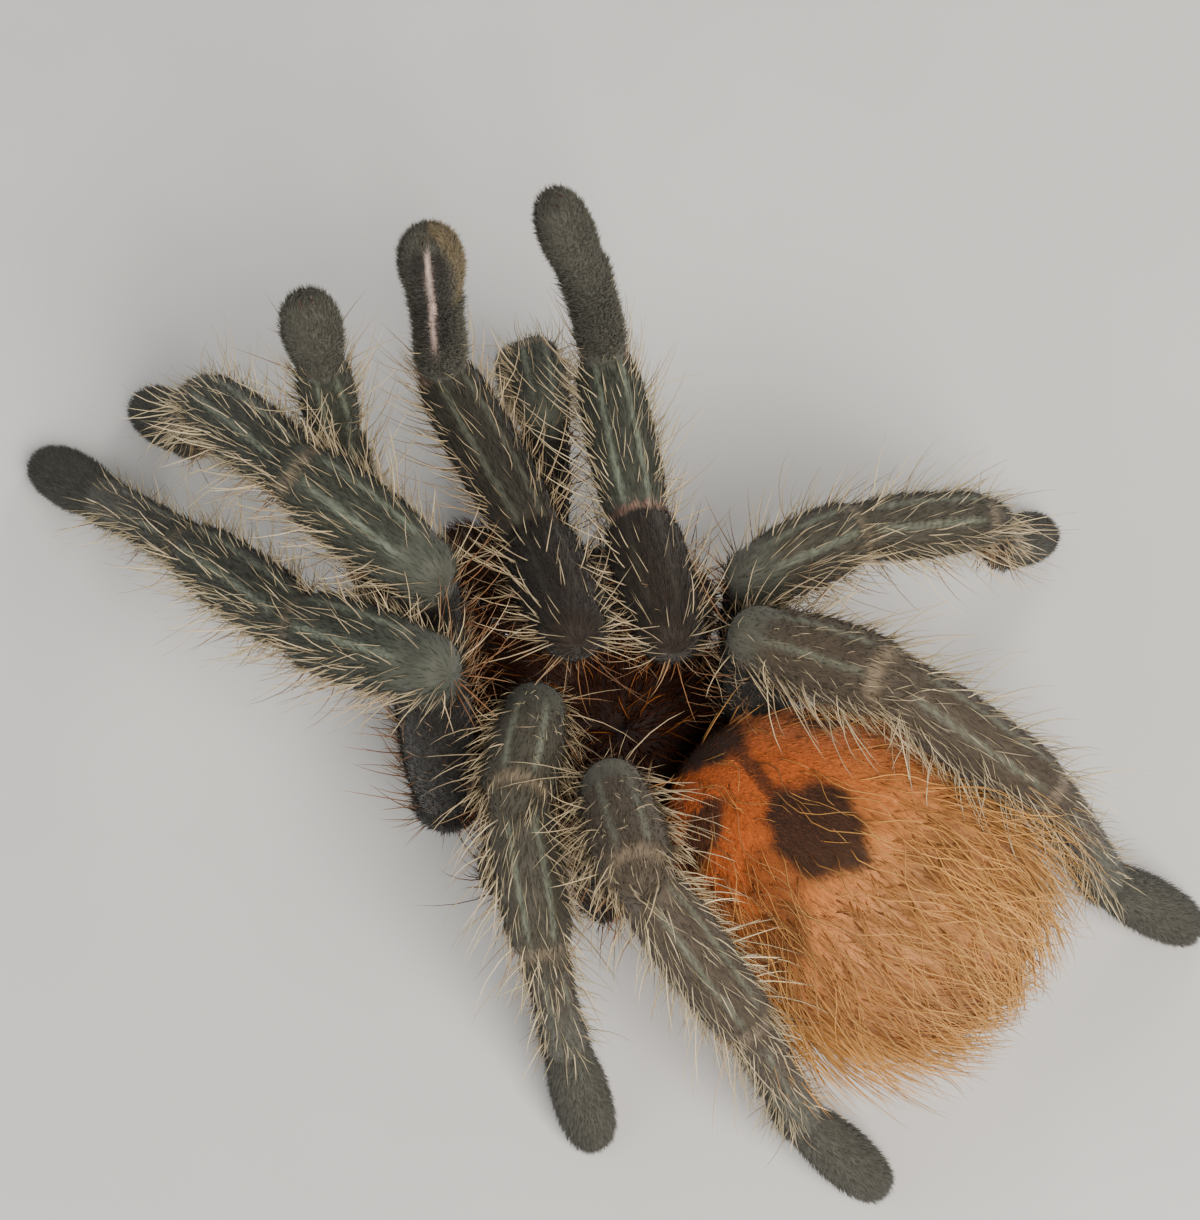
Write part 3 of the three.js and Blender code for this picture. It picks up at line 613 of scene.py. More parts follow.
points = vertex_rows(skin_mesh, "co")
skin_place = locate(points, vertex_rows(skin_mesh, "normal"))
out = points[:, :2] - FOVEA
far = np.linalg.norm(out, axis=1)
halfway = np.exp(-(((far - HALFWAY["far"]) / HALFWAY["wide"]) ** 2))
dent = FOVEA_DENT["deep"] * np.exp(-dot((out / np.array(FOVEA_DENT["half"])) ** 2, np.ones(2)))
grooves = [(turn, RAYS) for turn in RAYS["turns"]] + [(HEAD_GROOVE["turn"], HEAD_GROOVE)]
for turn, groove in grooves:
    for sign in SIDES.values():
        ray = np.array((sign * math.sin(math.radians(turn)), math.cos(math.radians(turn))))
        across = out @ np.array((ray[1], -ray[0]))
        dent += groove["deep"] * halfway * np.exp(-((across / groove["wide"]) ** 2)) * (out @ ray > 0)
on_top = np.isin(skin_place.kind, ("carapace", "head")) & (points[:, 2] > ABOVE_HEM)
points[:, 2] -= np.where(on_top, dent, 0.0)
points[:, 2] = np.maximum(points[:, 2], FLOOR_FILM)
skin_mesh.vertices.foreach_set("co", points.ravel())
skin_mesh.update()
print("deepest groove:", round(float(dent[on_top].max()), 2), "mm")

# %% [markdown]
# ## Colours
#
# The legs are a dark blue green with two pale bare stripes along the patella and tibia and pale soft rims at
# the joints. The stripes and the tops of the knees are painted a little lighter, partly as highlight. The
# hind legs are browner. The femurs are painted nearly black, and the raised legs dark brown near the body,
# as shade. The carapace is rusty brown, painted darker as shade. The abdomen of a young one is orange, with
# a black bar down its front, a black blotch on top and smaller ones beside it, which fade as it grows. Its
# right flank is painted darker towards the rear as shade. Skin and coat both read these colours from one
# function, so that a mark never slips between them.

# %% Colours as a painter would name them
def paint(red, green, blue):
    """A display colour, 0 to 255, as the linear values that shaders use."""
    shares = np.array((red, green, blue)) / 255.0
    return np.where(shares <= 0.04045, shares / 12.92, ((shares + 0.055) / 1.055) ** 2.4)


PAINTS = {
    # Painted shade: the femurs are made nearly black for the deep shade among the legs.
    "femur": paint(22, 18, 13),
    "patella": paint(58, 60, 50),
    "tibia": paint(58, 59, 49),
    "metatarsus": paint(60, 57, 47),
    "tarsus": paint(79, 77, 67),
    "coxa": paint(50, 38, 30),
    "chelicera": paint(70, 50, 36),
    "spinneret": paint(120, 84, 52),
    "stalk": paint(44, 24, 15),
    # Painted shade: the carapace's rusty brown is darkened for the shade that it lies in.
    "carapace": paint(36, 17, 9),
    "head": paint(44, 23, 13),
    "eye_mound": paint(46, 31, 22),
    "sternum": paint(50, 34, 26),
    "abdomen": paint(184, 112, 54),
}
# The bare stripes' own pale colour, made lighter still as a painted highlight.
STRIPE_AND_HIGHLIGHT_PAINT = paint(118, 124, 106)
SOLE_PAINT = paint(214, 186, 172)
SIDE_PAINT = paint(38, 32, 28)
EDGE_PAINT = paint(122, 106, 76)
RIM_PAINT = paint(152, 132, 106)
ROSY_PAINT = paint(176, 132, 114)
DARK_PAINT = paint(30, 20, 14)
REAR_PAINT = paint(180, 124, 74)
BLUSH_PAINT = paint(162, 94, 54)
GLOW_PAINT = paint(172, 82, 24)
# Rusty hair, which also serves as painted shade for the bristles under the legs and between the knees.
RUST_AND_SHADE_PAINT = paint(128, 72, 28)
CREAM_PAINT = paint(212, 192, 152)
# Bare knees, painted lighter on top partly as highlight.
KNEE_HIGHLIGHT_PAINT = paint(76, 77, 66)
CAP_HIGHLIGHT_PAINT = paint(128, 132, 116)
# Painted shade: the raised legs' femur, patella and first tibia are darkened to this brown.
RAISED_SHADE_PAINT = paint(34, 21, 11)
BROWN_PAINT = paint(84, 64, 49)


def smooth(low, high, value):
    """0 below low, 1 above high, and a soft step between. It falls where low is above high."""
    share = np.clip((value - low) / (high - low), 0, 1)
    return share * share * (3 - 2 * share)


def blend(first, second, share):
    """Rows of colours mixed by a share for each row."""
    return first + (second - first) * share[:, None]


print("paints:", len(PAINTS))

# %% [markdown]
# A mark is an oval on the abdomen, placed by its turn from the top and its way back from the front, both in
# degrees. A power under 2 draws an oval out to the four corners of a rhombus, and a lean turns it aside. A
# wobble of a few slow waves breaks its edge.

# %% Marks of the abdomen
MARKS = [
    {"turn": -9.5, "back": 80.5, "wide": 18.8, "long": 18.8, "depth": 0.95, "power": 1.5},
    {"turn": -35, "back": 80, "wide": 11, "long": 12, "depth": 0.4},
    {"turn": -2, "back": 50, "wide": 3.2, "long": 17, "depth": 0.75, "lean": -0.5},
    {"turn": 8, "back": 18, "wide": 12.5, "long": 21, "depth": 0.95},
    # This blotch on the right is drawn out along a leg's cast shadow, so it is partly painted shadow.
    {"turn": 52, "back": 57, "wide": 16, "long": 11, "depth": 0.85},
    {"turn": -47, "back": 47.5, "wide": 18, "long": 8.5, "depth": 0.85},
    {"turn": 66, "back": 86, "wide": 17, "long": 8, "depth": 0.5},
    {"turn": -50, "back": 90, "wide": 17, "long": 9, "depth": 0.6},
    {"turn": 96, "back": 66, "wide": 20, "long": 7, "depth": 0.7},
    {"turn": -96, "back": 66, "wide": 20, "long": 7, "depth": 0.7},
    {"turn": 8, "back": 113, "wide": 15, "long": 8, "depth": 0.3},
]
WOBBLES = [{"high": 0.07, "turn": 0.33, "back": 0.21}, {"high": 0.06, "turn": -0.29, "back": 0.47}]


def oval(turn, back, mark):
    """How far out a place is in an oval mark, where 1 is its edge."""
    wobble = sum(wave["high"] * np.sin(turn * wave["turn"] + back * wave["back"]) for wave in WOBBLES)
    behind = back - mark["back"]
    aside = turn - mark["turn"] - mark.get("lean", 0.0) * behind
    sideways = np.abs(aside * np.sin(np.radians(back))) / mark["wide"]
    lengthways = np.abs(behind) / mark["long"]
    power = mark.get("power", 2.0)
    return (sideways**power + lengthways**power) ** (1 / power) + wobble


def dark_share(place):
    """The dark marks of the abdomen."""
    turn, back = np.degrees(place.around), place.along * 180
    dark = np.zeros(len(turn))
    for mark in MARKS:
        dark = np.maximum(dark, smooth(1.2, 0.82, oval(turn, back, mark)) * mark["depth"])
    return dark * (place.kind == "abdomen")


print("share of the skin in the abdomen's marks:", (dark_share(skin_place) > 0.1).mean().round(3))

# %% [markdown]
# On the legs the marks follow the segments. Two stripes run along the back, painted a little lighter as
# highlight. The knees are smooth and pale on top, partly as painted highlight, and the first raised foot
# shows a bare line in its pad.

# %% Marks of the legs
OUTER_KINDS = ("patella", "tibia", "metatarsus")
STRIPES = {"turn": 25, "half": 7}
BARE_LINE = {"limb": "leg_right_1", "half": 11, "shade": 34, "turns": {"tarsus": -6, "metatarsus": -26}}
RAISED_LEGS = ("leg_right_1", "leg_right_2")
HIND_LEGS = {"leg_left_3": 0.25, "leg_right_3": 0.25, "leg_left_4": 0.5, "leg_right_4": 0.5}


def on_limbs(place, *limbs):
    """1 on the limbs that are named, and 0 elsewhere."""
    return np.isin(PART_LIMBS[place.part], limbs).astype(float)


def stripe_share(place):
    """The pale bare stripes of the legs."""
    turn = np.abs(np.degrees(place.around))
    ends = smooth(0.04, 0.14, place.along) * smooth(0.95, 0.85, place.along)
    line = smooth(STRIPES["half"], STRIPES["half"] * 0.4, np.abs(turn - STRIPES["turn"]))
    return line * ends * np.isin(place.kind, OUTER_KINDS)


def bare_line(place):
    """The bare line of a raised foot, and the dark hair on both sides of it."""
    tarsus, metatarsus = place.kind == "tarsus", place.kind == "metatarsus"
    ends = np.where(tarsus, smooth(1.0, 0.9, place.along), metatarsus * smooth(0.35, 0.7, place.along))
    foot = on_limbs(place, BARE_LINE["limb"]) * ends
    centre = np.where(tarsus, BARE_LINE["turns"]["tarsus"], BARE_LINE["turns"]["metatarsus"])
    turn = np.abs(np.degrees(place.around) - centre)
    line = smooth(BARE_LINE["half"], BARE_LINE["half"] * 0.3, turn)
    shade = smooth(BARE_LINE["shade"] * 1.6, BARE_LINE["shade"], turn)
    return line * foot, shade * foot


def raised_share(place):
    """1 on the two raised legs."""
    return on_limbs(place, *RAISED_LEGS)


def raised_shade_share(place):
    """Painted shade on the raised legs, dark brown: on femur and patella, and on the first one's tibia too.
    """
    tibia = on_limbs(place, RAISED_LEGS[0]) * (place.kind == "tibia") * (0.75 - 0.3 * place.along)
    return np.maximum(raised_share(place) * np.isin(place.kind, ("femur", "patella")), tibia)


def hind_share(place):
    """The hind legs are browner than the front ones, the last pair most."""
    brown = sum(share * on_limbs(place, limb) for limb, share in HIND_LEGS.items())
    return brown * np.isin(place.kind, OUTER_KINDS)


def knee_share(place):
    """The smooth top of a knee, where a femur ends and a patella starts."""
    top = smooth(-0.2, 0.5, np.cos(place.around))
    ends = (place.kind == "patella") * smooth(0.2, 0.06, place.along) * top
    return np.maximum(ends, (place.kind == "femur") * smooth(0.9, 0.97, place.along))


print("share of the skin in the stripes:", (stripe_share(skin_place) > 0.1).mean().round(3))

# %% [markdown]
# The colour of a place is built up as a painter would, with thin coats of paint laid one over another. Each
# coat has its own share at each place, and the dark marks come last.

# %% Lay the colours on
def colour_of(place):
    """The colour of the skin at each place."""
    turn, back = np.degrees(place.around), place.along * 180
    femur, metatarsus, tarsus, belly = (
        place.kind == kind for kind in ("femur", "metatarsus", "tarsus", "abdomen")
    )
    lifted = raised_share(place)
    jointed = np.isin(place.kind, ("femur", "patella", "tibia"))
    rim = jointed * smooth(0.93, 0.97, place.along) * smooth(1.06, 1.01, place.along)
    # The top of a femur's end is painted pale, partly as highlight.
    cap = femur * smooth(0.9, 0.97, place.along) * smooth(0.1, 0.6, np.cos(place.around))
    ankle = metatarsus * np.maximum(smooth(0.3, 0.7, place.along), lifted)
    line, shade = bare_line(place)
    edge = tarsus * smooth(38, 62, turn) * 0.8
    coats = [
        (BROWN_PAINT, hind_share(place)),
        # Stripes lightened as painted highlight.
        (STRIPE_AND_HIGHLIGHT_PAINT, stripe_share(place) * (0.7 - 0.5 * hind_share(place))),
        # Knee tops lightened, partly as painted highlight.
        (KNEE_HIGHLIGHT_PAINT, knee_share(place) * (1 - lifted) * 0.7),
        # Painted shade on the raised legs.
        (RAISED_SHADE_PAINT, raised_shade_share(place) * 0.9),
        (RIM_PAINT, rim * 0.42),
        (ROSY_PAINT, rim * lifted * 0.5),
        # Femur ends lightened on top, partly as painted highlight.
        (CAP_HIGHLIGHT_PAINT, cap * (1 - lifted) * 0.3),
        (PAINTS["tarsus"], ankle),
        (EDGE_PAINT, on_limbs(place, BARE_LINE["limb"]) * edge),
        (SIDE_PAINT, shade * 0.8),
        (SOLE_PAINT, line),
        (GLOW_PAINT, belly * smooth(105, 60, back) * smooth(60, 5, turn) * 0.9),
        (BLUSH_PAINT, belly * smooth(95, 50, back) * smooth(5, 40, turn) * 0.8),
        (REAR_PAINT, belly * smooth(85, 118, back)),
        # Painted shade: the rear of the right flank is darkened.
        (REAR_PAINT * 0.5, belly * smooth(30, 75, turn) * smooth(60, 90, back)),
        (BLUSH_PAINT * 0.5, belly * smooth(110, 150, np.abs(turn)) * 0.7),
        (DARK_PAINT, dark_share(place)),
    ]
    colour = np.array([PAINTS[kind] for kind in place.kind])
    for over, share in coats:
        colour = blend(colour, over, share)
    return colour


skin_tint = colour_of(skin_place)
shades = skin_tint.mean(axis=1)
print("darkest and lightest skin:", shades.min().round(3), shades.max().round(3))

# %% [markdown]
# The skin carries its colour as an attribute, and a second one that says where each point lies along and
# round its part. A pattern that reads the second runs along the leg, whichever way the leg points.

# %% Write the colours on the skin
BODY_LENGTH = 12.0
BODY_GIRTH = 4.0
PARTS_APART = 7.0
PART_LENGTHS = np.array([(bone.end - bone.start).length for bone in BONES] + [BODY_LENGTH] * len(BODIES))
PART_GIRTHS = np.array([bone.radius for bone in BONES] + [BODY_GIRTH] * len(BODIES))


def store(mesh, name, rows):
    """Stores one vector, or one number, for each vertex."""
    kind, key = ("FLOAT_VECTOR", "vector") if rows.ndim > 1 else ("FLOAT", "value")
    stored = mesh.attributes.new(name, kind, "POINT")
    stored.data.foreach_set(key, np.ascontiguousarray(rows, dtype=np.float32).ravel())


grain = np.column_stack((
    skin_place.around * PART_GIRTHS[skin_place.part],
    skin_place.along * PART_LENGTHS[skin_place.part],
    skin_place.part * PARTS_APART,
))
store(skin_mesh, "tint", skin_tint)
store(skin_mesh, "grain", grain)
skin_mesh.shade_smooth()
print("skin attributes:", [item.name for item in skin_mesh.attributes if item.name in ("tint", "grain")])

# %% [markdown]
# ## Shaders as sums
#
# A shader is arithmetic on values that change over a surface. A small class lets a socket be added and
# multiplied as a number is, and each operation lays down its Math node. Every other node comes from one
# method, which takes the node's type, its settings and what goes into its sockets.

# %% A socket that can be calculated with
class Amount:
    """One output socket, used in plain arithmetic."""

    def __init__(self, finish, socket):
        self.finish = finish
        self.socket = socket

    def maths(self, operation, first, second):
        """Lays down the Math node of one operation."""
        return self.finish.node("Math", {"operation": operation}, {0: first, 1: second})

    def __add__(self, other):
        return self.maths("ADD", self, other)

    def __radd__(self, other):
        return self.maths("ADD", other, self)

    def __mul__(self, other):
        return self.maths("MULTIPLY", self, other)

    def __rmul__(self, other):
        return self.maths("MULTIPLY", other, self)


class Finish:
    """A material, with one method that adds any node to it."""

    def __init__(self, name, shader):
        self.material = bpy.data.materials.new(name)
        self.material.use_nodes = True
        self.tree = self.material.node_tree
        self.shader = self.tree.nodes["Principled BSDF"]
        for socket, value in shader.items():
            self.set(socket, value)

    def node(self, kind, settings=None, inputs=None, output=0):
        """Adds a node of a type, with its settings first and then what its sockets take."""
        made = self.tree.nodes.new("ShaderNode" + kind)
        for name, value in (settings or {}).items():
            setattr(made, name, value)
        for name, value in (inputs or {}).items():
            self.fill(made.inputs[name], value)
        return Amount(self, made.outputs[output])

    def fill(self, socket, value):
        """Links a socket to an amount, or sets it to a plain value."""
        if isinstance(value, Amount):
            self.tree.links.new(value.socket, socket)
        else:
            socket.default_value = value

    def set(self, socket, value):
        """Fills one socket of the shader."""
        self.fill(self.shader.inputs[socket], value)

    def stored(self, name, output):
        """What the mesh stores for each vertex under a name."""
        return self.node("Attribute", {"attribute_name": name}, output=output)

    def space(self):
        """The place on the object, in metres."""
        return self.node("TexCoord", output="Object")

    def noise(self, vector, scale, detail, stretch=(1.0, 1.0, 1.0)):
        """Noise over a vector. A stretch under 1 draws it out along that axis."""
        placed = self.node("Mapping", None, {"Vector": vector, "Scale": stretch})
        return self.node("TexNoise", None, {"Vector": placed, "Scale": scale, "Detail": detail})

    def brighten(self, colour, amount):
        """A colour times an amount."""
        return self.node("VectorMath", {"operation": "SCALE"}, {0: colour, "Scale": amount})

    def mixed(self, share, first, second):
        """Two colours mixed by a share."""
        return self.node("Mix", {"data_type": "RGBA"}, {0: share, 6: first, 7: second}, output=2)


print("a shader sum can start from either side:", hasattr(Amount, "__radd__"))

# %% [markdown]
# ## The skin's finish
#
# Under its long hair a tarantula is covered in down so short that it reads as velvet. Fine noise, drawn out
# along the grain, gives that nap as a bump and as streaks in the colour. A slower noise mottles the body.
# The index of refraction is low, in skin and hair, because velvet has little shine and its darks stay deep.

# %% Skin material
VELVET_IOR = 1.3


def skin_finish():
    """Velvet in the colours of the skin."""
    finish = Finish("skin", {"Sheen Weight": 0.12, "Sheen Roughness": 0.5, "IOR": VELVET_IOR})
    nap = finish.noise(finish.stored("grain", "Vector"), scale=9.0, detail=4.0, stretch=(1.0, 0.22, 1.0))
    mottle = finish.noise(finish.space(), scale=900.0, detail=4.0)
    tint = finish.stored("tint", "Color")
    finish.set("Base Color", finish.brighten(tint, (nap * 0.9 + 0.55) * (mottle * 0.7 + 0.65)))
    finish.set("Roughness", nap * 0.3 + 0.42)
    bump = finish.node("Bump", None, {"Strength": 0.55, "Distance": 0.00012, "Height": nap + mottle * 0.6})
    finish.set("Normal", bump)
    return finish.material


skin_mesh.transform(TO_SCENE)
skin_mesh.name = "skin"
skin = entered("skin", skin_mesh)
skin.data.materials.append(skin_finish())
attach(skin, "root")
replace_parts(skin, *[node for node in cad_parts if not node.startswith("fang")])

# %% [markdown]
# ## Eyes
#
# Eight eyes sit close together on a low mound behind the chelicerae. The two that look forward are round
# and the largest. The rest are ovals that look sideways and back. Each is a polished bead, sunk to about its
# middle in the skin.

# %% Eyes
EYES = [
    {"place": (0.30, 0.18, 0.96), "radius": 0.24, "stretch": 1.0},
    {"place": (0.72, 0.34, 0.62), "radius": 0.17, "stretch": 1.35},
    {"place": (0.76, -0.12, 0.62), "radius": 0.17, "stretch": 1.35},
    {"place": (0.52, -0.34, 0.78), "radius": 0.17, "stretch": 1.1},
]
EYE_BASE = Vector(EYE_MOUND["middle"])
EYE_RISE = 0.6
EYE_TURN = -0.5


def finished(form, name, material):
    """Makes a bmesh in the animal's millimetres a finished piece that rides on the frame."""
    bmesh.ops.transform(form, matrix=TO_SCENE, verts=form.verts)
    mesh = bpy.data.meshes.new(name)
    form.to_mesh(mesh)
    form.free()
    mesh.shade_smooth()
    mesh.materials.append(material)
    piece = entered(name, mesh)
    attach(piece, "root")
    return piece


def eye_finish():
    """A polished bead, nearly black."""
    finish = Finish("eye", {"Coat Weight": 0.8, "Coat Roughness": 0.03})
    depth = finish.noise(finish.space(), scale=2600.0, detail=2.0)
    finish.set("Base Color", finish.mixed(depth, (0.004, 0.004, 0.006, 1), (0.035, 0.03, 0.032, 1)))
    finish.set("Roughness", depth * 0.06 + 0.05)
    return finish.material


glossy = eye_finish()
for side, sign in SIDES.items():
    for number, eye in enumerate(EYES, 1):
        x, y, share = eye["place"]
        bead = bmesh.new()
        bmesh.ops.create_icosphere(bead, subdivisions=3, radius=eye["radius"])
        bmesh.ops.scale(bead, vec=(1.0, eye["stretch"], 1.0), verts=bead.verts)
        bmesh.ops.rotate(bead, matrix=Matrix.Rotation(sign * EYE_TURN, 3, "Z"), verts=bead.verts)
        bmesh.ops.translate(bead, vec=EYE_BASE + Vector((sign * x, y, share * EYE_RISE)), verts=bead.verts)
        finished(bead, f"eye_{side}_{number}", glossy)
print("eyes:", 2 * len(EYES))

# %% [markdown]
# ## Fangs and claws
#
# A fang and a claw are both horns: a ring pushed along an arc that closes to a point. Starting from one
# circle and extruding it step by step, with a small turn and a small shrink each time, makes any of them.

# %% A horn
BLUNT = 0.4


def horn(radius, reach, bend, steps=12, sides=14):
    """A horn that starts at the origin along +Y and bends down towards -Z."""
    form = bmesh.new()
    bmesh.ops.create_circle(form, cap_ends=True, segments=sides, radius=radius)
    bmesh.ops.rotate(form, matrix=Matrix.Rotation(math.radians(90), 3, "X"), verts=form.verts)
    tip = form.faces[:]
    turn = Matrix.Rotation(-math.radians(bend) / steps, 3, "X")
    middle = Vector((0, 0, 0))
    heading = Vector((0, 1, 0))
    for step in range(steps):
        grown = bmesh.ops.extrude_face_region(form, geom=tip)
        verts = [item for item in grown["geom"] if isinstance(item, bmesh.types.BMVert)]
        tip = [item for item in grown["geom"] if isinstance(item, bmesh.types.BMFace)]
        heading.rotate(turn)
        shrink = (1 - (step + 1) / (steps + BLUNT)) / (1 - step / (steps + BLUNT))
        space = Matrix.Translation(-middle)
        middle = middle + heading * (reach / steps)
        bmesh.ops.rotate(form, cent=(0, 0, 0), matrix=turn, verts=verts, space=space)
        bmesh.ops.translate(form, vec=heading * (reach / steps), verts=verts)
        bmesh.ops.scale(form, vec=(shrink,) * 3, verts=verts, space=Matrix.Translation(-middle))
    bmesh.ops.recalc_face_normals(form, faces=form.faces)
    return form


print("a small horn has", len(horn(1, 1, 70, steps=8, sides=8).faces), "faces")

# %% [markdown]
# The fangs fold back under the chelicerae. Each foot ends in two tiny claws, half hidden in its pad. All of
# them are the same dark horn, with a few brown streaks where light gets into it.

# %% Fangs and claws
FANG = {"radius": 0.34, "length": 3.0, "bend": 112, "root": 0.86, "pitch": -62}
CLAW = {"radius": 0.075, "length": 0.55, "bend": 70, "apart": 0.2, "root": 0.93, "above": 0.34}


def fang_finish():
    """Dark horn with brown streaks."""
    finish = Finish("fang", {"Coat Weight": 0.5, "Coat Roughness": 0.1})
    streak = finish.noise(finish.space(), scale=1500.0, detail=3.0, stretch=(1.0, 0.3, 1.0))
    finish.set("Base Color", finish.mixed(streak, (0.012, 0.006, 0.005, 1), (0.09, 0.028, 0.014, 1)))
    finish.set("Roughness", streak * 0.2 + 0.14)
    return finish.material


horny = fang_finish()
for bone, side in zip(chelicerae, SIDES):
    fang = horn(FANG["radius"], FANG["length"], FANG["bend"])
    facing = Matrix.Rotation(math.radians(FANG["pitch"]), 4, "X")
    place = bone.start.lerp(bone.end, FANG["root"])
    bmesh.ops.transform(fang, matrix=Matrix.Translation(place) @ facing, verts=fang.verts)
    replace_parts(finished(fang, f"fang_{side}", horny), f"fang_{side}")
for bone in [bone for bone in BONES if bone.kind == "tarsus"]:
    for sign in (-1, 1):
        claw = horn(CLAW["radius"], CLAW["length"], CLAW["bend"], steps=8, sides=8)
        forward = CLAW["root"] * (bone.end - bone.start).length
        place = Vector((sign * CLAW["apart"], forward, CLAW["above"]))
        bmesh.ops.transform(claw, matrix=along_bone(bone) @ Matrix.Translation(place), verts=claw.verts)
        finished(claw, f"{bone.limb}_claw_{'outer' if sign > 0 else 'inner'}", horny)
print("fangs and claws:", 2 + 2 * (len(LEG_POSES) + len(PALP_POSES)))

# %% [markdown]
# ## The coat: where hairs are rooted
#
# Roots are scattered over the skin's own triangles, by area and by how thickly each kind of hair grows
# there. Walking through the running total of those weights in even steps spaces the roots more evenly than
# free draws would. The draws are seeded, so the coat is the same each time.

# %% Scatter roots over the skin
skin_mesh.calc_loop_triangles()
corner = np.empty(len(skin_mesh.loop_triangles) * 3, int)
skin_mesh.loop_triangles.foreach_get("vertices", corner)
corner = corner.reshape(-1, 3)
vertex_normals = vertex_rows(skin_mesh, "normal")
edges = points[corner[:, 1:]] - points[corner[:, :1]]
areas = np.linalg.norm(np.cross(edges[:, 0], edges[:, 1]), axis=1) / 2
face_place = locate(points[corner].mean(axis=1), unit(vertex_normals[corner].mean(axis=1)))
print("skin area:", round(areas.sum()), "square mm")


def scatter(per_square, thickness, draws):
    """Roots at a number for each square millimetre, thinned by a share for each triangle."""
    running = np.cumsum(areas * thickness)
    total = int(round(running[-1] * per_square))
    steps = (np.arange(total) + draws.random(total)) / total * running[-1]
    face = np.searchsorted(running, steps)
    first, second = draws.random(total), draws.random(total)
    flip = first + second > 1
    first[flip], second[flip] = 1 - first[flip], 1 - second[flip]
    shares = np.column_stack((1 - first - second, first, second))
    spots = (points[corner[face]] * shares[:, :, None]).sum(axis=1)
    facing = unit((vertex_normals[corner[face]] * shares[:, :, None]).sum(axis=1))
    return locate(spots, facing)


# %% [markdown]
# ## The coat: how a hair is shaped
#
# A hair is a three-sided spike with a bend. It leaves the skin at its lift, turns towards its lie, and thins
# to a point. Thousands are worked out at once as arrays: each ring of all the hairs in one step. A hair that
# would reach through the floor is laid along it.

# %% The shape of a hair
THINNING = 0.55
LIFT_SPREAD = 0.25


def hair_faces(rings):
    """The faces of one hair: its root, its sides and its tip."""
    faces = [(0, 2, 1)]
    for ring in range(rings - 1):
        for k in range(3):
            low, nxt = ring * 3 + k, ring * 3 + (k + 1) % 3
            faces.append((low, nxt, nxt + 3, low + 3))
    last = (rings - 1) * 3
    faces += [(last + k, last + (k + 1) % 3, rings * 3) for k in range(3)]
    return faces


def slow_waves(rows):
    """A smooth value from -1 to 1 that neighbouring hairs share, so that they lean together in locks."""
    x, y, z = rows.T
    return (np.sin(2.3 * x + 1.1 * y) + np.sin(2.9 * y - 1.7 * z) + np.sin(5.1 * x - 3.3 * z + y)) / 3


def hair_points(place, coat, draws):
    """All the hairs of one coat, in the animal's millimetres: for each, its rings and its tip."""
    total, rings = len(place.point), coat["rings"]
    length = draws.uniform(*coat["length"], total) * coat.get("reach", lambda where: 1.0)(place)
    lift = np.radians(coat["lift"] + draws.normal(0, LIFT_SPREAD, total) * coat["lift"])
    droop = np.radians(coat.get("droop", 0.0))
    side = np.cross(place.lie, place.normal)
    wander = draws.normal(0, math.radians(coat["wander"]), total)[:, None]
    wander = wander + coat.get("sweep", 0.0) * slow_waves(place.point)[:, None]
    lie = place.lie * np.cos(wander) + side * np.sin(wander)
    side = np.cross(lie, place.normal)
    curl = draws.normal(0, coat.get("curl", 0.0), total)
    phase = draws.uniform(0, math.tau, total)
    wave = coat.get("wave", 0.0)
    spot = place.point - place.normal * coat["width"]
    rows = []
    turns = np.arange(3) * math.tau / 3
    for ring in range(rings):
        share = ring / rings
        angle = (lift * (1 - share) + droop * share)[:, None]
        aside = curl * share + wave * np.sin(math.tau * share + phase)
        bent = lie * np.cos(angle) + place.normal * np.sin(angle) + side * aside[:, None]
        heading = unit(bent)
        across = unit(side - heading * dot(side, heading)[:, None])
        over = np.cross(heading, across)
        circle = across[:, None] * np.cos(turns)[:, None] + over[:, None] * np.sin(turns)[:, None]
        rows.append(spot[:, None] + circle * coat["width"] / 2 * (1 - share) ** THINNING)
        spot = spot + heading * (length / rings)[:, None]
        spot[:, 2] = np.maximum(spot[:, 2], coat["width"])
    rows.append(spot[:, None])
    shaped = np.concatenate(rows, axis=1)
    shaped[..., 2] = np.maximum(shaped[..., 2], FLOOR_FILM)
    return shaped


print("corners in the faces of a hair of four rings:", sum(len(face) for face in hair_faces(4)))

# %% [markdown]
# All the hairs of a coat become one mesh. Each vertex stores the tint that its hair takes over, a tone of
# the hair's own and how far towards the tip it is. Each hair gets a small patch of the UV map named OFBake,
# at its root's place on a chart of the coat's parts, because hairs that shared one patch would share one
# colour.

# %% Hairs as one mesh
PATCH = 0.003
MARGIN = 0.02


def unwrapped(place):
    """A place on a chart of the parts in a coat, one tile for each part."""
    parts, tile = np.unique(place.part, return_inverse=True)
    across = math.ceil(math.sqrt(len(parts)))
    u = (tile % across + np.clip(place.around / math.tau + 0.5, MARGIN, 1 - MARGIN)) / across
    v = (tile // across + np.clip(place.along, MARGIN, 1 - MARGIN)) / across
    return np.column_stack((u, v))


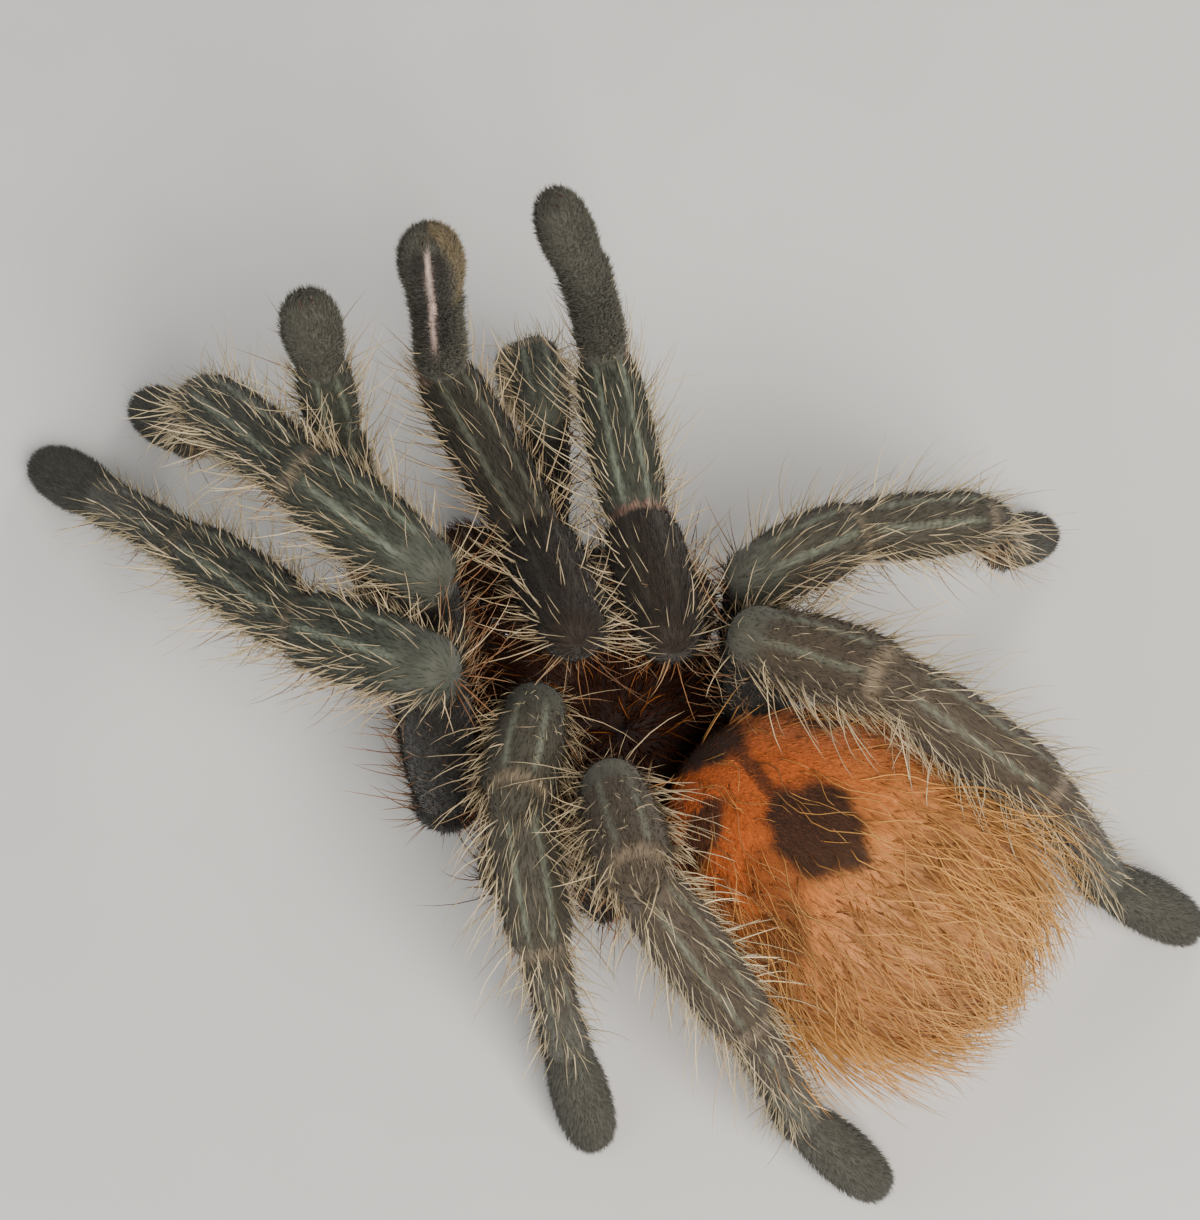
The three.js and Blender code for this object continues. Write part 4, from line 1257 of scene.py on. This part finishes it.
def coat_mesh(name, place, coat, draws):
    """The coat as a mesh with its colours, its way along each hair and its chart."""
    shaped = hair_points(place, coat, draws)
    total, per_hair = shaped.shape[:2]
    faces = hair_faces(coat["rings"])
    pattern = np.concatenate([np.array(face) for face in faces])
    sizes = np.array([len(face) for face in faces])
    loops = (np.arange(total)[:, None] * per_hair + pattern).ravel()
    starts = np.concatenate(([0], np.cumsum(np.tile(sizes, total))[:-1]))
    mesh = bpy.data.meshes.new(name)
    mesh.vertices.add(total * per_hair)
    mesh.vertices.foreach_set("co", shaped.ravel())
    mesh.loops.add(len(loops))
    mesh.loops.foreach_set("vertex_index", loops)
    mesh.polygons.add(len(starts))
    mesh.polygons.foreach_set("loop_start", starts)
    mesh.update(calc_edges=True)
    level = np.append(np.repeat(np.arange(coat["rings"]), 3), coat["rings"]) / coat["rings"]
    corners = np.append(np.tile(np.arange(3) / 2, coat["rings"]), 0.5)
    tints = coat.get("tints", colour_of)(place)
    store(mesh, "tint", np.repeat(tints, per_hair, axis=0))
    store(mesh, "tone", np.repeat(draws.random(total), per_hair))
    store(mesh, "tipward", np.tile(level, total))
    chart = unwrapped(place)[:, None] + PATCH * (np.column_stack((corners, level)) - 0.5)
    layer = mesh.uv_layers.new(name="OFBake")
    layer.data.foreach_set("uv", chart.reshape(-1, 2)[loops].astype(np.float32).ravel())
    mesh.transform(TO_SCENE)
    mesh.shade_smooth()
    return mesh


def triangles_in(rings):
    """Triangles of one hair."""
    return sum(len(face) - 2 for face in hair_faces(rings))


print("triangles in a hair of one, two and four rings:", [triangles_in(rings) for rings in (1, 2, 4)])

# %% [markdown]
# ## The coat: kinds of hair
#
# A tarantula's coat is many kinds of hair. Down covers every segment and carries its colour. Long bristles
# stand out of it, thickest on a leg's sides and round its joints, and a finer fuzz fills in between them.
# The feet have a dense pad under them. The abdomen has its own down, in its own marks, under long golden
# hairs that stream back over it. Each finish goes from one colour at the root to another at the tip, and
# keeps a share of the tint that is stored for the hair.

# %% Hair materials
def hair_finish(name, root, tip, keep, roughness, sheen=0.06):
    """Hair in its own colours from root to tip, mixed with its stored tint by the share that it keeps."""
    finish = Finish(name, {"Sheen Weight": sheen, "IOR": VELVET_IOR})
    tone = finish.stored("tone", "Fac")
    tipward = finish.stored("tipward", "Fac")
    patchy = finish.noise(finish.space(), scale=500.0, detail=2.0)
    own = finish.mixed(tipward * 0.8 + tone * 0.2, (*paint(*root), 1), (*paint(*tip), 1))
    hair = finish.mixed(keep, own, finish.stored("tint", "Color"))
    finish.set("Base Color", finish.brighten(hair, (tone * 0.7 + 0.6) * (patchy * 0.5 + 0.75)))
    finish.set("Roughness", roughness + tone * 0.15)
    return finish.material


HAIR_LOOKS = {
    "leg_down": dict(root=(58, 58, 48), tip=(126, 118, 98), keep=0.94, roughness=0.5),
    "leg_fuzz": dict(root=(66, 56, 40), tip=(190, 174, 137), keep=0.42, roughness=0.4),
    "leg_bristle": dict(root=(84, 52, 30), tip=(226, 204, 162), keep=0.78, roughness=0.38),
    "pad": dict(root=(76, 74, 66), tip=(108, 104, 94), keep=0.75, roughness=0.8),
    "abdomen_down": dict(root=(150, 84, 40), tip=(206, 132, 72), keep=0.92, roughness=0.6),
    "abdomen_long": dict(root=(176, 110, 48), tip=(228, 178, 98), keep=0.28, roughness=0.35),
    # Painted shade: the carapace's down is darkened along with the carapace.
    "carapace_down": dict(root=(30, 13, 5), tip=(104, 50, 16), keep=0.4, roughness=0.6, sheen=0.0),
    "carapace_long": dict(root=(96, 48, 16), tip=(172, 104, 42), keep=0.1, roughness=0.45, sheen=0.0),
    "mouth_fringe": dict(root=(110, 50, 24), tip=(190, 96, 50), keep=0.1, roughness=0.45),
}
HAIR = {name: hair_finish(name, **look) for name, look in HAIR_LOOKS.items()}
print("hair finishes:", len(HAIR))

# %% [markdown]
# Where a kind grows is a share for each place, and how long it grows there is another. Both are small rules
# that read the names of the places, first those of the limbs.

# %% Where the limbs' hair grows
LIMB_TOPS = ("femur", "patella", "tibia", "metatarsus")


def limb_down(place):
    """Down on the limbs, thin on the stripes and knees, and none where a raised foot's pad is."""
    bare = np.maximum(stripe_share(place) * 0.5, knee_share(place) * (1 - raised_share(place)) * 0.6)
    padded = raised_share(place) * (place.kind == "metatarsus") * smooth(0.1, 0.3, place.along)
    return np.isin(place.kind, LIMB_TOPS) * (1 - bare) * (1 - padded)


def beside(place):
    """0 along a leg's back, 1 on its sides and below."""
    return smooth(0.9, 0.35, np.cos(place.around))


def limb_fuzz(place):
    """Fuzz where the down is, more of it at the sides, and little where the raised legs are painted dark as
    shade.
    """
    few = np.where(place.kind == "femur", 0.55, 1.0) * (1 - 0.7 * raised_shade_share(place))
    return limb_down(place) * few * (0.45 + 0.95 * beside(place))


def limb_bristles(place):
    """Bristles at the sides and round the joints, few on top, on the femurs and on the smooth knees."""
    on_top = 0.2 - 0.12 * raised_shade_share(place)
    sides = on_top + (1 - on_top) * beside(place)
    ends = 0.85 + 0.4 * smooth(0.25, 0.05, place.along) + 0.4 * smooth(0.8, 1.0, place.along)
    slim = np.where(place.kind == "metatarsus", 0.7 - 0.6 * raised_share(place), 1.0)
    slim = slim * np.where(place.kind == "femur", 0.45, 1.0)
    smooth_knee = 1 - 0.95 * knee_share(place) * (1 - raised_share(place))
    return np.isin(place.kind, LIMB_TOPS) * sides * ends * slim * smooth_knee


def bristle_tint(place):
    """Rusty near the body and under a leg, partly as painted shade, and cream on the outer legs."""
    outer = np.isin(place.kind, ("tibia", "metatarsus")) + 0.8 * (place.kind == "patella")
    star = raised_share(place) * (place.kind == "femur") * smooth(0.7, 0.95, place.along)
    # Bristles on a leg's underside, and on the first raised tibia, are painted rusty as shade.
    outer = np.maximum(outer, star) * smooth(-1.0, -0.2, np.cos(place.around))
    outer = outer * (1 - 0.6 * raised_shade_share(place) * (place.kind == "tibia"))
    return blend(RUST_AND_SHADE_PAINT, CREAM_PAINT, outer)


def limb_reach(place):
    """Bristles are longest at the sides, and shorter on the metatarsus."""
    slim = np.where(place.kind == "metatarsus", 0.7, 1.0)
    return slim * (0.5 + 0.5 * beside(place))


def pad_places(place):
    """The pad is all round the tarsus and under the metatarsus, and all round that too on a raised foot."""
    under = np.maximum(smooth(0.3, -0.6, np.cos(place.around)), raised_share(place))
    under = under * smooth(0.1, 0.3, place.along)
    line, _ = bare_line(place)
    return (under * (place.kind == "metatarsus") + (place.kind == "tarsus")) * (1 - line)


def pad_reach(place):
    """The pad runs up the metatarsus and is deepest there."""
    return np.where(place.kind == "metatarsus", 1.4, 1.0)


bristly = limb_bristles(face_place)
print("bristles: mean share", bristly.mean().round(2), "and highest share", bristly.max().round(2))

# %% [markdown]
# On the abdomen the long hairs grow from the sides and the rear, and the upper front is velvet. On the
# carapace they fringe the edge.

# %% Where the body's hair grows
def on(*kinds):
    """A rule that is 1 on some kinds of part and 0 elsewhere."""
    return lambda place: np.isin(place.kind, kinds).astype(float)


def flanks(place):
    """1 on the abdomen's sides and rear, and little on the velvet of its upper front."""
    turn = np.abs(np.degrees(place.around))
    rear = np.maximum(smooth(26, 60, turn) * smooth(0.2, 0.35, place.along), smooth(0.46, 0.62, place.along))
    return (place.kind == "abdomen") * (0.1 + 0.9 * rear)


def flank_reach(place):
    """The long hairs of the abdomen are shorter at its rear end."""
    return 0.55 + 0.45 * smooth(0.9, 0.6, place.along)


def carapace_edge(place):
    """Long hair fringes the carapace's edge and thins out over its top."""
    rise = smooth(5.9, 5.2, place.point[:, 2])
    return np.isin(place.kind, ("carapace", "head", "stalk")) * (0.25 + 0.75 * rise)


print("share of the skin in the flanks:", (flanks(face_place) > 0.5).mean().round(2))

# %% [markdown]
# Each coat is one entry of a table: where it grows, how many hairs on a square millimetre, their length and
# width in millimetres, and in degrees how steeply they leave the skin (lift), how they end (droop) and how
# far they stray aside (wander). Curl, sweep and wave bend a hair sideways: on its own, with its neighbours,
# and to and fro. A coat over the limbs is cut in a left and a right half, which keeps each piece under
# 200,000 triangles.

# %% The table of coats
COATS = [
    dict(name="limb_down", places=limb_down, hair="leg_down", slot="leg", halves=True, rings=1,
         per_square=66, length=(0.3, 0.6), lift=18, wander=10, width=0.04),
    dict(name="limb_fuzz", places=limb_fuzz, hair="leg_fuzz", slot="leg", halves=True, rings=2,
         per_square=8, length=(0.7, 1.7), lift=33, droop=14, wander=16, curl=0.2, width=0.038,
         tints=bristle_tint),
    dict(name="limb_bristles", places=limb_bristles, hair="leg_bristle", slot="leg", halves=True, rings=4,
         per_square=4.4, length=(1.0, 3.3), lift=52, droop=26, wander=20, curl=0.3, width=0.052,
         reach=limb_reach, tints=bristle_tint, sweep=0.25),
    dict(name="foot_pads", places=pad_places, hair="pad", slot="foot", halves=True, rings=1,
         per_square=200, length=(0.3, 0.46), lift=30, wander=12, width=0.038, reach=pad_reach),
    dict(name="abdomen_down", places=on("abdomen"), hair="abdomen_down", slot="abdomen", rings=1,
         per_square=120, length=(0.25, 0.5), lift=17, wander=14, width=0.045),
    dict(name="abdomen_mid", places=flanks, hair="abdomen_long", slot="abdomen", rings=3,
         per_square=7, length=(0.9, 1.9), lift=13, droop=5, wander=12, curl=0.25, width=0.045, sweep=0.4),
    dict(name="abdomen_long", places=flanks, hair="abdomen_long", slot="abdomen", rings=6,
         per_square=7.5, length=(2.6, 5.2), lift=25, droop=3, wander=10, curl=0.35, width=0.056,
         reach=flank_reach, sweep=0.38, wave=0.4),
    dict(name="carapace_down", places=on("carapace", "head", "eye_mound"), hair="carapace_down",
         slot="carapace", rings=2, per_square=55, length=(0.4, 0.9), lift=30, droop=10, wander=20,
         curl=0.2, width=0.045),
    dict(name="carapace_long", places=carapace_edge, hair="carapace_long", slot="carapace", rings=4,
         per_square=9, length=(1.0, 2.0), lift=44, droop=18, wander=24, curl=0.3, width=0.05),
    dict(name="mouth_down", places=on("chelicera"), hair="carapace_down", slot="carapace", rings=2,
         per_square=50, length=(0.5, 1.0), lift=30, droop=10, wander=12, curl=0.15, width=0.045),
    dict(name="underside_down", places=on("coxa", "sternum", "spinneret", "stalk"), hair="mouth_fringe",
         slot="underside", rings=2, per_square=16, length=(0.5, 1.1), lift=38, droop=16, wander=18,
         curl=0.2, width=0.05),
]
print("kinds of coat:", [coat["name"] for coat in COATS])

# %% [markdown]
# Each coat draws from its own seeded generator, so a change to one leaves the others as they were. The work
# for all of them is the same: scatter the roots, shape the hairs, and let the piece ride on the body.

# %% Grow the coat
COAT_SEED = 100
PART_ON_RIGHT = np.array([limb.endswith("right") or "_right_" in limb for limb in PART_LIMBS])
coat_triangles = 0
for number, coat in enumerate(COATS):
    halves = SIDES if coat.get("halves") else [""]
    for half in halves:
        draws = np.random.default_rng([COAT_SEED, number, len(half)])
        thickness = coat["places"](face_place)
        if half:
            thickness = thickness * (PART_ON_RIGHT[face_place.part] == (half == "right"))
        place = scatter(coat["per_square"], thickness, draws)
        label = f"{coat['name']}_{half}".rstrip("_")
        mesh = coat_mesh(label, place, coat, draws)
        mesh.materials.append(HAIR[coat["hair"]])
        piece = entered(label, mesh)
        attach(piece, "root")
        triangles = len(place.point) * triangles_in(coat["rings"])
        coat_triangles += triangles
        print(label, len(place.point), "hairs,", triangles, "triangles")
print("coat triangles in all:", coat_triangles)

# %% [markdown]
# ## Floor and light
#
# The floor is a plain pale sheet. A faint speckle keeps it from reading as empty space.

# %% Floor
FLOOR_HALF = 2.0


def floor_finish():
    """Pale grey with a faint speckle."""
    finish = Finish("floor", {"Roughness": 0.8})
    speckle = finish.noise(finish.space(), scale=120.0, detail=2.0)
    finish.set("Base Color", finish.mixed(speckle, (0.60, 0.58, 0.55, 1), (0.66, 0.64, 0.61, 1)))
    return finish.material


sheet = bmesh.new()
bmesh.ops.create_grid(sheet, x_segments=1, y_segments=1, size=FLOOR_HALF)
floor_mesh = bpy.data.meshes.new("floor")
sheet.to_mesh(floor_mesh)
sheet.free()
floor_mesh.materials.append(floor_finish())
floor = entered("floor", floor_mesh)
floor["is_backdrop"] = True
print("the floor is", round(floor.dimensions.x, 1), "m wide")

# %% [markdown]
# A large soft lamp high behind the spider gives shape, so that the tall abdomen shades the carapace. A
# weaker one at its left front opens the shadows, and a small one at its right picks out the long hairs. A
# dim sky fills in the rest.

# %% Lamps and sky
SKY = {"colour": (0.86, 0.9, 0.95, 1), "strength": 0.35}
LAMPS = {
    "key": {"from": (-0.03, -0.11, 0.14), "size": 0.1, "watts": 0.5, "colour": (1.0, 0.97, 0.92)},
    "fill": {"from": (-0.13, 0.08, 0.12), "size": 0.16, "watts": 0.11, "colour": (0.92, 0.96, 1.0)},
    "rim": {"from": (0.14, 0.06, 0.08), "size": 0.06, "watts": 0.1, "colour": (1.0, 0.95, 0.88)},
}
for name, lamp in LAMPS.items():
    light = bpy.data.lights.new(name, "AREA")
    light.size = lamp["size"]
    light.energy = lamp["watts"]
    light.color = lamp["colour"]
    spot = Vector(lamp["from"])
    aimed = (-spot).to_track_quat("-Z", "Y").to_matrix().to_4x4()
    entered(name, light).matrix_world = Matrix.Translation(spot) @ aimed

sky = bpy.data.worlds.new("sky")
sky.use_nodes = True
backdrop = sky.node_tree.nodes["Background"].inputs
backdrop["Color"].default_value = SKY["colour"]
backdrop["Strength"].default_value = SKY["strength"]
bpy.context.scene.world = sky
print("lamps:", list(LAMPS))

# %% [markdown]
# ## Check the size
#
# Hair may stand a little proud of the solids, but the spider mustn't grow. The two boxes are kept side by
# side, and how far the dressed one grows past the solid one is printed.

# %% Keep both boxes and finish
dressed_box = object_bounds()


grown = [round((b - a) * 1000, 2) for a, b in zip(solid_box[1], dressed_box[1])]
print("grown by", grown, "mm at the high corner")
